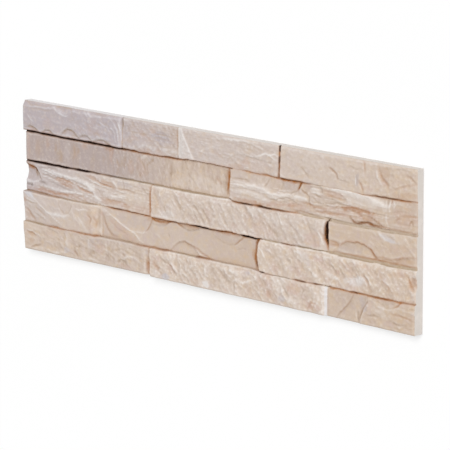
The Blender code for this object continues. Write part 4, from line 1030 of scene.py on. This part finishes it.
END_JOINTS = [
    [
        [(0, 144.2, 0.5, 0.9, -0.2, 0.4), (9, 144.2, 0.4, 0.7, -0.2, 0.2), (14, 144.0, 0.3, 0.2, 0.0, 0.0)],
        [
            (0, 221.5, 0.3, 0.2, -0.2, 0.0), (14, 221.5, 0.3, 0.2, -0.2, 0.0),
            (30, 221.5, 0.3, 0.2, 0.0, 0.0),
        ],
        [
            (0, 356.6, 0.6, 1.8, 1.0, 1.1), (5, 356.5, 0.6, 1.8, 1.0, 1.1),
            (6.5, 356.4, 0.45, 0.9, 1.1, 0.15), (9.5, 356.3, 0.45, 0.9, 1.1, 0.15),
            (11, 356.3, 0.55, 1.6, 1.0, 0.8), (15, 356.2, 0.55, 1.6, 1.0, 0.8),
            (17.5, 356.0, 0.45, 1.0, 1.1, 0.2), (24, 355.7, 0.5, 1.1, 1.1, 0.35),
            (30, 355.2, 0.45, 1.0, 1.1, 0.2),
        ],
    ],
    [
        [
            (30, 291.6, 0.4, 0.8, 1.0, 0.25), (44, 291.4, 0.4, 0.8, 1.0, 0.2),
            (52, 290.6, 0.4, 0.6, 0.9, 0.0), (60, 290.4, 0.3, 0.3, 0.3, 0.0),
        ],
    ],
    [
        [
            (60, 184.8, 0.4, 0.7, 0.7, 0.1), (70, 184.0, 0.5, 0.8, 0.8, 0.2),
            (80, 184.6, 0.6, 0.9, 0.8, 0.2), (92, 184.0, 0.6, 0.9, 0.9, 0.2),
        ],
        [
            (60.5, 417.0, 0.3, 1.0, 0.9, 0.3), (63, 416.4, 0.7, 2.8, 0.9, 1.15),
            (67, 415.8, 1.0, 3.4, 0.9, 1.25), (74, 415.6, 1.1, 3.4, 0.9, 1.25),
            (79, 416.1, 0.8, 2.8, 0.9, 1.15), (82, 416.8, 0.4, 1.2, 1.0, 0.9),
            (84.5, 417.2, 0.35, 0.6, 1.0, 0.2), (88, 417.4, 0.3, 0.3, 0.6, 0.0),
            (92, 417.6, 0.3, 0.2, -0.4, 0.0),
        ],
    ],
    [
        [(91, 112.0, 0.1, 0.05, 0.0, 0.0), (122, 112.0, 0.1, 0.05, 0.0, 0.0)],
        [
            (90, 331.2, 0.4, 0.5, 1.2, 0.1), (96, 328.9, 0.5, 0.6, 1.2, 0.3),
            (104, 327.3, 0.6, 0.9, 1.2, 0.25), (112, 327.9, 0.6, 1.0, 1.2, 0.4),
            (118, 329.2, 0.5, 0.8, 0.9, 0.2), (123, 330.2, 0.5, 0.8, 0.8, 0.2),
        ],
    ],
    [
        [
            (122, 180.6, 0.4, 0.6, -0.6, 0.1), (131, 180.9, 0.5, 0.7, -0.3, 0.1),
            (134, 181.6, 0.6, 1.0, 0.9, 0.15), (143, 181.4, 0.7, 1.2, 1.0, 0.35),
            (150, 181.2, 0.6, 1.0, 0.9, 0.2),
        ],
        [(122, 417.0, 0.1, 0.05, 0.0, 0.0), (150, 417.0, 0.1, 0.05, 0.0, 0.0)],
    ],
]

MESH_STEP = 0.93
JOINT_DRAW = 0.6  # how much closer together the mesh lines lie at a joint
JOINT_DRAW_REACH = 5.0
STAIN_REACH = 1.0  # how far rust spreads from a joint
OCHRE_REACH = 0.55  # how far ochre spreads from a joint
# black is painted shade, spread a little onto the stones beside a deep joint
SHADE_REACH = 0.5  # how far black spreads from a joint
SHALLOW_RIM = 3.0  # how much less a rim is rounded for each millimetre that its joint is shallower
FULL_DEPTH = 0.5  # how deep a joint is where its rim is rounded in full
OVERLAP = 3.5  # how far past its joints a stone is worked
PAST_TILE = 9.0  # a line well past the tile, where a course has no joint
ARRIS_ROUND = 1.5
RIM_ROUND = 0.7
TINT_RUN = 0.4  # how far the tint ran over the rim
BACK_CHAMFER = 1.2
NEAR_ROUND = 5  # how often the face is softened to give what is round a point
FAR_ROUND = 24  # and what is farther round it
# The next three paint the relief into the colour: partly wear and pigment, partly painted highlight and
# shade
PROUD_WEAR_AND_HIGHLIGHT = 2.3  # how pale the face is for each millimetre that it stands above what is round it
SUNK_TAN = 2.2  # how tan it is for each millimetre that it lies under what is round it
HOLLOW_TAN = 0.5  # and under what is farther round it
RIM_WEAR = 0.25  # how pale the tile's rim is


def joint_places(table, along, seed):
    """A joint's middle, half width, depth, stain and black at some places along it."""
    table = np.array(table, float)
    places = table[:, 0]
    middle, half, depth, stain, black = (np.interp(along, places, column) for column in table[:, 1:].T)
    middle += 0.3 * ripple(along / 15, np.full_like(along, 3.5), seed)
    middle += 0.15 * ripple(along / 5, np.full_like(along, 7.5), seed + 1)
    half *= 1 + 0.2 * ripple(along / 9, np.full_like(along, 5.5), seed + 2)
    return middle, half, depth, stain, black


def course_joint(k, u):
    """The joint below course k at some places along it."""
    return joint_places(COURSE_JOINTS[k], u, 60 + 5 * k)


def end_joint(k, n, v):
    """The joint to the right of stone n of course k at some places down it."""
    return joint_places(END_JOINTS[k][n], v, 80 + 20 * k + 5 * n)


def course_edges(k, u):
    """The lines above and below course k: the middles of its joints, or past the tile where it has none."""
    above = course_joint(k - 1, u)[0] if k else np.full_like(u, -PAST_TILE)
    below = course_joint(k, u)[0] if k < len(COURSE_JOINTS) else np.full_like(u, TILE_HEIGHT + PAST_TILE)
    return above, below


def draw_lines_to_joints(u, v):
    """Moves the mesh lines so that they follow the joints and lie closer together there."""
    reach = JOINT_DRAW_REACH
    shift = np.zeros_like(v)
    for k in range(len(COURSE_JOINTS)):
        straight = (k + 1) * COURSE_HEIGHT
        middle = course_joint(k, u)[0]
        t = (v - straight) / reach
        shift += (middle - straight - JOINT_DRAW * reach * t) * bell(t)
    v = v + shift
    shift = np.zeros_like(u)
    for k, joints in enumerate(END_JOINTS):
        above, below = course_edges(k, u)
        inside = eased((v - above) / 1.2 + 0.5) * eased((below - v) / 1.2 + 0.5)
        for n in range(len(joints)):
            t = (u - end_joint(k, n, v)[0]) / reach
            shift -= inside * JOINT_DRAW * reach * t * bell(t)
    return u + shift, v


def soften(values, times):
    """Averages a field of the mesh with its neighbours, several times."""
    for _ in range(times):
        padded = np.pad(values, ((1, 1), (0, 0)), mode="edge")
        values = (padded[:-2] + 2 * padded[1:-1] + padded[2:]) / 4
        padded = np.pad(values, ((0, 0), (1, 1)), mode="edge")
        values = (padded[:, :-2] + 2 * padded[:, 1:-1] + padded[:, 2:]) / 4
    return values


def joints_round(k, n, u, v):
    """How far inside a stone's joints and rims each point lies, and the rust, ochre and black painted shade
    there.
    """
    joints = []
    if k:
        joints.append((course_joint(k - 1, u), v, 1))
    if k < len(COURSE_JOINTS):
        joints.append((course_joint(k, u), v, -1))
    if n:
        joints.append((end_joint(k, n - 1, v), u, 1))
    if n < len(END_JOINTS[k]):
        joints.append((end_joint(k, n, v), u, -1))
    inner = np.full_like(u, 99.0)
    rim = np.full_like(u, 99.0)
    rusty = np.zeros_like(u)
    yellow = np.zeros_like(u)
    joint_shade = np.zeros_like(u)
    for (middle, half, depth, stain, black), across, way in joints:
        distance = (across - middle) * way - half
        inner = np.minimum(inner, distance)
        rim = np.minimum(rim, distance + SHALLOW_RIM * np.clip(FULL_DEPTH - depth, 0, FULL_DEPTH))
        beyond = np.maximum(distance, 0)
        rusty = np.maximum(rusty, stain * np.exp(-((beyond / STAIN_REACH) ** 1.4)))
        yellow = np.maximum(yellow, -stain * np.exp(-((beyond / OCHRE_REACH) ** 1.4)))
        joint_shade = np.maximum(joint_shade, black * bell(beyond / SHADE_REACH))
    return inner, rim, rusty, yellow, joint_shade


def work_stone(stone, k, n, u, v, seed):
    """One stone's face with its thickness and masks, as if it had no joints."""
    start = end_joint(k, n - 1, v)[0].mean() if n else 0.0
    end = end_joint(k, n, v)[0].mean() if n < len(END_JOINTS[k]) else TILE_LENGTH
    share = np.clip((u - start) / (end - start), 0, 1)
    base = stone.left + (stone.right - stone.left) * share - stone.lean * (v / COURSE_HEIGHT - k - 0.5)
    front = (stone.left + stone.right) / 2 - SEEN_PLANE if n else base - SEEN_PLANE
    face = StoneFace(u - front * SEEN_LEFT, v + front * SEEN_DOWN, seed)
    for mask in ("cool", "dusk", "honey"):
        left, right = getattr(stone, mask)
        setattr(face, mask, np.clip(left + (right - left) * share, 0, 1))
    stone.work(face)
    face.rise += base
    face.pale += stone.frost
    return face


def cast_face(u, v):
    """The thickness and masks at every mesh point, and how far inside its stone's joints it lies."""
    shape = u.shape
    fields = {name: np.zeros(shape) for name in MASKS}
    thickness = np.zeros(shape)
    lowest = np.full(shape, 99.0)
    bare = np.ones(shape, bool)
    beside = np.zeros(shape)
    for k, stones in enumerate(STONES):
        for n, stone in enumerate(stones):
            seed = 101 * (10 * k + n + 1)
            inner, rim, rust, yellow, black = joints_round(k, n, u, v)
            under = v - (course_joint(k - 1, u)[0] if k else 0.4)
            near = inner > -OVERLAP
            inner = inner[near]
            face = work_stone(stone, k, n, u[near], v[near], seed)
            lowest[near] = np.minimum(lowest[near], face.rise)
            chips = 0.5 + 0.5 * ripple(u[near] / 6, v[near] / 6, seed + 1)
            ragged = 0.3 * ripple(u[near] / 2.2, v[near] / 2.2, seed + 2)
            width = ARRIS_ROUND * (0.5 + 1.2 * chips * chips)
            bevel = np.clip(1 - (rim[near] + ragged * eased(inner)) / width, 0, 1)
            face.rise -= 0.7 * width * (1 - np.sqrt(1 - 0.98 * bevel * bevel))
            face.rust += 0.9 * rust[near] * (0.6 + 0.8 * chips)
            face.ochre += 0.9 * yellow[near]
            # painted shade: black from a deep joint spreads onto the stone's rim
            face.gap += 0.9 * black[near]
            # painted highlight: a pale line just under the stone's top joint, where its top arris catches
            # the light
            face.pale += stone.edge * (0.4 + 0.8 * chips) * bell((under[near] - 1.2) / 0.8)
            keep = inner > 0
            here = near.copy()
            here[near] = keep
            thickness[here] = face.rise[keep]
            beside[here] = inner[keep]
            bare[here] = False
            for name in MASKS:
                fields[name][here] = getattr(face, name)[keep]
    depth, stain, black = joint_floors(u, v)
    thickness[bare] = (lowest - depth)[bare]
    fields["rust"][bare] = np.clip(stain[bare], 0, 1.2)
    fields["ochre"][bare] = np.clip(-stain[bare], 0, 1)
    fields["gap"][bare] = black[bare]
    return thickness, fields, beside


def joint_floors(u, v):
    """The depth, stain and black painted shade of the joint that each point lies in."""
    depth = np.zeros_like(u)
    stain = np.zeros_like(u)
    black = np.zeros_like(u)
    runs = [(course_joint(k, u), v, np.ones_like(u)) for k in range(len(COURSE_JOINTS))]
    for k, joints in enumerate(END_JOINTS):
        above, below = course_edges(k, u)
        inside = ((v > above) & (v < below)).astype(float)
        runs += [(end_joint(k, n, v), u, inside) for n in range(len(joints))]
    for (middle, half, deep, stained, dark), across, inside in runs:
        within = inside * (np.abs(across - middle) <= half + 0.01)
        depth = np.maximum(depth, within * deep)
        stain = np.where(within > 0, stained, stain)
        black = np.maximum(black, within * dark)
    return depth, stain, black


class Finish:
    """Node building for one material or world, by a node's type or by expressions on sockets."""

    def __init__(self, owner):
        owner.use_nodes = True
        self.owner = owner
        self.tree = owner.node_tree
        self.shader = self.tree.nodes[0]

    def node(self, kind, settings=None, **values):
        """Adds a node, sets it, then fills its inputs, which are named with _ for a space or by number."""
        node = self.tree.nodes.new(kind)
        for key, value in (settings or {}).items():
            setattr(node, key, value)
        for key, value in values.items():
            numbered = key[0] == "i" and key[1:].isdigit()
            self.fill(node.inputs[int(key[1:]) if numbered else key.replace("_", " ")], value)
        return node

    def fill(self, socket, value):
        """Links a socket to another, or sets it."""
        if isinstance(value, Number):
            value = value.socket
        if isinstance(value, bpy.types.NodeSocket):
            self.tree.links.new(value, socket)
        else:
            socket.default_value = value

    def number(self, node, output=0):
        """A node's output as a number that takes part in expressions."""
        return Number(self, node.outputs[output])

    def attribute(self, name):
        """A field that the mesh carries."""
        return self.number(self.node("ShaderNodeAttribute", {"attribute_name": name}), "Fac")

    def noise(self, place, scale, detail, roughness=0.55):
        """Noise from 0 to 1 at a scale in lumps to the metre."""
        values = {"Vector": place, "Scale": scale, "Detail": detail, "Roughness": roughness}
        return self.number(self.node("ShaderNodeTexNoise", **values), "Fac")

    def blend(self, share, low, high):
        """A colour between two others, with the share kept from 0 to 1."""
        settings = {"data_type": "RGBA", "clamp_factor": True}
        return self.node("ShaderNodeMix", settings, i0=share, i6=low, i7=high).outputs[2]


class Number:
    """A socket that holds a number, with the usual operators."""

    def __init__(self, finish, socket):
        self.finish = finish
        self.socket = socket

    def maths(self, operation, a, b):
        """The number that a Math node gives."""
        return self.finish.number(self.finish.node("ShaderNodeMath", {"operation": operation}, i0=a, i1=b))

    def __add__(self, other):
        return self.maths("ADD", self, other)

    __radd__ = __add__

    def __sub__(self, other):
        return self.maths("SUBTRACT", self, other)

    def __rsub__(self, other):
        return self.maths("SUBTRACT", other, self)

    def __mul__(self, other):
        return self.maths("MULTIPLY", self, other)

    __rmul__ = __mul__

    def clamped(self):
        """Kept from 0 to 1."""
        return self.maths("MAXIMUM", self.maths("MINIMUM", self, 1.0), 0.0)


def cast_finish(looks):
    """Tinted plaster: mauve grey to sand, worn pale on its ridges, stained in its cracks, and painted with
    shade and highlights.
    """
    finish = Finish(bpy.data.materials.new("cast_stone"))
    place = finish.node("ShaderNodeTexCoord").outputs["Object"]
    pale, rust, ochre, blush, tan, cool, dusk, honey, gap = (finish.attribute(name) for name in MASKS)

    broad = finish.noise(place, 28.0, 3.0)
    cloudy = finish.noise(place, 95.0, 4.0, 0.6)
    mottled = finish.noise(place, 260.0, 3.0, 0.6)
    flecked = finish.noise(place, 150.0, 3.0, 0.6)
    speck = finish.noise(place, 700.0, 3.0, 0.65)

    warm = (1.0 - cool - dusk).clamped()
    worn = finish.blend(0.9 * cool, looks.worn, looks.frost)
    tint = finish.blend(honey + 1.2 * (broad - 0.52), looks.sand, looks.honey)
    for share, over in (
        (cool + 0.5 * (broad - 0.5), looks.mauve),
        (dusk + 0.8 * dusk * (cloudy - 0.5), looks.dusk),
        (0.6 * (blush + 1.6 * (cloudy - 0.58)), looks.pink),
        (warm * (2.5 * (flecked - 0.52)).clamped(), looks.straw),
        (warm * (2.5 * (0.46 - flecked)).clamped(), looks.lilac),
        (1.8 * (mottled - 0.52), looks.cream),
        (tan * (0.4 + 0.9 * mottled), looks.tan),
        # pale is wear and also painted highlight on crests and top edges
        (pale * (0.55 + 0.5 * mottled), worn),
        (ochre * (0.4 + 0.9 * mottled), looks.ochre),
        (rust * (0.25 + 1.0 * mottled), looks.rust),
        (1.2 * (speck - 0.56), looks.cream),
        # painted shade: black where joints and cracks lie deep in shadow
        (gap * (0.9 + 0.2 * speck), looks.dark),
    ):
        tint = finish.blend(share, tint, over)
    bare = finish.blend(2.0 * (cloudy - 0.5), looks.bare, looks.worn)
    bare = finish.blend(0.6 * cool, bare, looks.frost)
    colour = finish.blend(finish.attribute("raw"), tint, bare)

    height = 0.6 * finish.noise(place, 420.0, 4.0, 0.6) + 0.4 * speck
    bump = finish.node("ShaderNodeBump", Strength=0.5, Distance=0.0006, Height=height)
    finish.fill(finish.shader.inputs["Base Color"], colour)
    finish.fill(finish.shader.inputs["Roughness"], 0.84 + 0.14 * (cloudy - 0.5))
    finish.fill(finish.shader.inputs["Normal"], bump.outputs[0])
    finish.shader.inputs["Specular IOR Level"].default_value = 0.12
    return finish.owner


class CladdingSizes(bpy.types.PropertyGroup):
    """The sizes that a user can change"""

    step: bpy.props.FloatProperty(
        name="Mesh step", description="Distance between mesh lines", default=MESH_STEP * MM, unit="LENGTH")
    chamfer: bpy.props.FloatProperty(
        name="Back chamfer", description="Chamfer round the back", default=BACK_CHAMFER * MM, unit="LENGTH")


def colour_property(name, description, default):
    """A colour that a user can change."""
    return bpy.props.FloatVectorProperty(
        name=name, description=description, default=(*default, 1.0), size=4, subtype="COLOR", min=0, max=1)


class CladdingLooks(bpy.types.PropertyGroup):
    """The colours that a user can change"""

    sand: colour_property("Sand", "Tint of most of the face", (0.615, 0.505, 0.425))
    honey: colour_property("Honey", "Tint of the yellower stones", (0.600, 0.465, 0.355))
    mauve: colour_property("Mauve grey", "Tint of the top left stones", (0.480, 0.425, 0.445))
    # dusk is the dark stone's tint and also painted shade in hollows, shadow lines and under proud stones
    dusk: colour_property("Dusk", "Tint of the long dark stone", (0.455, 0.375, 0.355))
    pink: colour_property("Pink", "Tint of pink patches", (0.580, 0.410, 0.340))
    cream: colour_property("Cream", "Tint of pale clouds", (0.700, 0.600, 0.510))
    straw: colour_property("Straw", "Tint of yellow flecks", (0.660, 0.475, 0.285))
    lilac: colour_property("Lilac", "Tint of cool flecks", (0.565, 0.445, 0.450))
    # tan is pigment that gathers in hollows and also painted shade there
    tan: colour_property("Tan", "Tint that gathers in hollows", (0.450, 0.340, 0.260))
    # worn also paints the highlights on crests and top edges
    worn: colour_property("Worn", "Ridges where the tint has worn away", (0.800, 0.735, 0.685))
    rust: colour_property("Rust", "Stain in deep cracks and joints", (0.390, 0.150, 0.038))
    ochre: colour_property("Ochre", "Stain in shallow joints", (0.370, 0.270, 0.145))
    # dark is painted shade at the bottom of deep joints and cracks
    dark: colour_property("Dark", "Bottom of deep joints", (0.024, 0.009, 0.006))
    frost: colour_property("Frost", "Ridges and sides of the mauve stones", (0.690, 0.675, 0.690))
    bare: colour_property("Bare", "Untinted sides and back", (0.640, 0.592, 0.550))


class CLADDING_OT_tile(bpy.types.Operator):
    """Models the tile with its relief and finish"""

    bl_idname = "cladding.tile"
    bl_label = "Cast tile"

    def execute(self, context):
        sizes = context.scene.cladding_sizes
        step = sizes.step / MM
        bpy.ops.object.select_all(action="DESELECT")
        bpy.ops.mesh.primitive_grid_add(
            x_subdivisions=round(TILE_LENGTH / step), y_subdivisions=round(TILE_HEIGHT / step), size=1)
        tile = context.object
        tile.name = "cast_tile"
        tile.data.name = "cast_tile"
        tile.scale = (TILE_LENGTH * MM, TILE_HEIGHT * MM, 1)
        bpy.ops.object.transform_apply(location=True, rotation=True, scale=True)
        work_relief(tile)
        face_points = len(tile.data.vertices)
        close_slab(tile, sizes)
        mark_raw_sides(tile, face_points)
        bpy.ops.object.shade_smooth_by_angle(angle=math.radians(40))
        tile.data.materials.append(cast_finish(context.scene.cladding_looks))
        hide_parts("cladding_tile")
        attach(tile, "root")
        return {"FINISHED"}


def work_relief(tile):
    """Raises the flat grid into the tile's face."""
    mesh = tile.data
    co = np.empty(len(mesh.vertices) * 3)
    mesh.vertices.foreach_get("co", co)
    co = co.reshape(-1, 3) / MM
    order = np.lexsort((np.round(co[:, 0], 3), -np.round(co[:, 1], 3)))
    rows = len(np.unique(np.round(co[:, 1], 3)))
    u = (co[order, 0] + TILE_LENGTH / 2).reshape(rows, -1)
    v = (TILE_HEIGHT / 2 - co[order, 1]).reshape(rows, -1)
    u, v = draw_lines_to_joints(u, v)
    thickness, fields, beside = cast_face(u, v)

    rim = np.minimum.reduce([u, TILE_LENGTH - u, v, TILE_HEIGHT - v])
    rim = rim + 0.3 * ripple(u / 4, v / 4, 90) * (rim > 0.01)
    worn = np.clip(1 - rim / RIM_ROUND, 0, 1)
    thickness -= 0.8 * RIM_ROUND * (1 - np.sqrt(np.clip(1 - worn * worn, 0, 1)))
    fields["pale"] += RIM_WEAR * worn
    thickness = np.minimum(thickness, HIGHEST_FACE - 0.05 * (1 + ripple(u / 9, v / 9, 91)))

    # pale on what stands proud is partly wear and partly painted highlight; tan on what lies sunk is partly
    # pigment and partly painted shade
    proud = thickness - soften(thickness, NEAR_ROUND)
    sunk = soften(thickness, FAR_ROUND) - thickness
    wear_and_highlight = (0.2 + 0.8 * eased((np.minimum(beside, rim) - 0.8) / 1.6)) * np.clip(proud - 0.02, 0, 0.3)
    fields["pale"] = np.clip(fields["pale"] + PROUD_WEAR_AND_HIGHLIGHT * wear_and_highlight, 0, 1.2)
    shade = SUNK_TAN * np.clip(-proud - 0.03, 0, 0.3) + HOLLOW_TAN * np.clip(sunk, 0, 1)
    fields["tan"] = np.clip(fields["tan"] + shade * (1 - 0.7 * np.clip(fields["cool"], 0, 1)), 0, 1.3)

    co[order, 0] = u.ravel() - TILE_LENGTH / 2
    co[order, 1] = TILE_HEIGHT / 2 - v.ravel()
    co[order, 2] = thickness.ravel()
    mesh.vertices.foreach_set("co", (co * MM).ravel())
    for name in MASKS:
        values = np.empty(len(order))
        values[order] = fields[name].ravel()
        mesh.attributes.new(name, "FLOAT", "POINT").data.foreach_set("value", values.astype(np.float32))
    mesh.update()


def close_slab(tile, sizes):
    """Draws the face's rim down to the back and closes it with a chamfer."""
    bpy.ops.object.mode_set(mode="EDIT")
    bpy.ops.mesh.select_mode(type="EDGE")
    bpy.ops.mesh.select_all(action="DESELECT")
    bpy.ops.mesh.select_non_manifold()
    bpy.ops.mesh.extrude_region_move(TRANSFORM_OT_translate={"value": (0, 0, -TINT_RUN * MM)})
    bpy.ops.mesh.extrude_region_move(TRANSFORM_OT_translate={"value": (0, 0, 0)})
    level_selected(sizes.chamfer)
    bpy.ops.mesh.extrude_region_move(TRANSFORM_OT_translate={"value": (0, 0, -sizes.chamfer)})
    draw_in = [1 - 2 * sizes.chamfer / (side * MM) for side in (TILE_LENGTH, TILE_HEIGHT)]
    bpy.ops.transform.resize(value=(*draw_in, 1), center_override=(0, 0, 0))
    bpy.ops.mesh.edge_face_add()
    bpy.ops.mesh.select_all(action="SELECT")
    bpy.ops.mesh.normals_make_consistent(inside=False)
    bpy.ops.object.mode_set(mode="OBJECT")


def level_selected(height):
    """Puts the selected points at one height."""
    bpy.ops.transform.resize(value=(1, 1, 0), center_override=(0, 0, height))


def mark_raw_sides(tile, face_points):
    """Marks the untinted sides and back, whose points come after the face's."""
    mesh = tile.data
    values = (np.arange(len(mesh.vertices)) >= face_points).astype(np.float32)
    mesh.attributes.new("raw", "FLOAT", "POINT").data.foreach_set("value", values)


# The studio's sizes are in metres, and its camera's lens and sensor in millimetres.
GROUND_SIZE = 8.0
GROUND_GAP = 0.0001  # keeps the ground clear of the tile's back
GROUND_WHITE = 0.6  # how far the ground is seen as plain white instead of as lit paper
WINDOW_STRENGTH = 2.1
WINDOW_SPREAD = 30.0  # degrees
WINDOW_SIDE = (0.47, 0.46, 0.8)
SKY_LIGHT = 0.5  # of the white that the camera sees
CAMERA_PLACE = (2.1153, 0.6083, 2.0571)
CAMERA_TURN = (-12.186, 45.593, -0.368)  # degrees
CAMERA_LENS = 256
CAMERA_SENSOR = 36
CAMERA_SIGHT = 50.0


class CLADDING_OT_studio(bpy.types.Operator):
    """Adds the white ground, the light and the camera"""

    bl_idname = "cladding.studio"
    bl_label = "Studio"

    def execute(self, context):
        scene = context.scene
        bpy.ops.object.select_all(action="DESELECT")
        bpy.ops.mesh.primitive_plane_add(size=GROUND_SIZE, location=(0, 0, -GROUND_GAP))
        bpy.ops.object.transform_apply(location=True)
        ground = context.object
        ground.name = "ground"
        paper = Finish(bpy.data.materials.new("ground_white"))
        place = paper.node("ShaderNodeTexCoord").outputs["Object"]
        shade = paper.noise(place, 3.0, 1.0)
        colour = paper.blend(shade, (0.97, 0.97, 0.97, 1), (0.99, 0.99, 0.99, 1))
        paper.fill(paper.shader.inputs["Base Color"], colour)
        paper.shader.inputs["Roughness"].default_value = 1.0
        paper.shader.inputs["Specular IOR Level"].default_value = 0.0
        lit = paper.node("ShaderNodeEmission").outputs[0]
        seen = paper.number(paper.node("ShaderNodeLightPath"), "Is Camera Ray")
        white = GROUND_WHITE * seen
        faint = paper.node("ShaderNodeMixShader", i0=white, i1=paper.shader.outputs[0], i2=lit)
        paper.fill(paper.tree.nodes["Material Output"].inputs["Surface"], faint.outputs[0])
        ground.data.materials.append(paper.owner)

        sun = bpy.data.lights.new("window", "SUN")
        sun.energy = WINDOW_STRENGTH
        sun.angle = math.radians(WINDOW_SPREAD)
        lamp = bpy.data.objects.new("window", sun)
        lamp.rotation_euler = Vector(WINDOW_SIDE).to_track_quat("Z", "Y").to_euler()
        scene.collection.objects.link(lamp)

        sky = Finish(bpy.data.worlds.new("studio"))
        scene.world = sky.owner
        rays = sky.node("ShaderNodeLightPath")
        seen = sky.number(rays, "Is Camera Ray")
        for ray in ("Is Glossy Ray", "Is Transmission Ray"):
            seen = seen.maths("MAXIMUM", seen, rays.outputs[ray])
        sky.fill(sky.shader.inputs["Strength"], SKY_LIGHT + (1.0 - SKY_LIGHT) * seen)
        sky.shader.inputs["Color"].default_value = (1, 1, 1, 1)

        camera = bpy.data.cameras.new("camera")
        camera.sensor_width = CAMERA_SENSOR
        camera.lens = CAMERA_LENS
        camera.clip_end = CAMERA_SIGHT
        holder = bpy.data.objects.new("camera", camera)
        holder.location = CAMERA_PLACE
        holder.rotation_euler = [math.radians(angle) for angle in CAMERA_TURN]
        scene.collection.objects.link(holder)
        scene.camera = holder
        scene.view_settings.view_transform = "Standard"
        return {"FINISHED"}


class CLADDING_PT_panel(bpy.types.Panel):
    """Lists the steps and their sizes and colours"""

    bl_label = "Cladding tile"
    bl_idname = "CLADDING_PT_panel"
    bl_space_type = "VIEW_3D"
    bl_region_type = "UI"
    bl_category = "Cladding"

    def draw(self, context):
        layout = self.layout
        for group in (context.scene.cladding_sizes, context.scene.cladding_looks):
            for name in group.__annotations__:
                layout.prop(group, name)
        layout.operator("cladding.tile")
        layout.operator("cladding.studio")


CLASSES = (CladdingSizes, CladdingLooks, CLADDING_OT_tile, CLADDING_OT_studio, CLADDING_PT_panel)


def register():
    for item in CLASSES:
        bpy.utils.register_class(item)
    bpy.types.Scene.cladding_sizes = bpy.props.PointerProperty(type=CladdingSizes)
    bpy.types.Scene.cladding_looks = bpy.props.PointerProperty(type=CladdingLooks)


def unregister():
    del bpy.types.Scene.cladding_looks
    del bpy.types.Scene.cladding_sizes
    for item in reversed(CLASSES):
        bpy.utils.unregister_class(item)


def main():
    register()
    bpy.ops.cladding.tile()
    bpy.ops.cladding.studio()


if __name__ == "__main__":
    main()
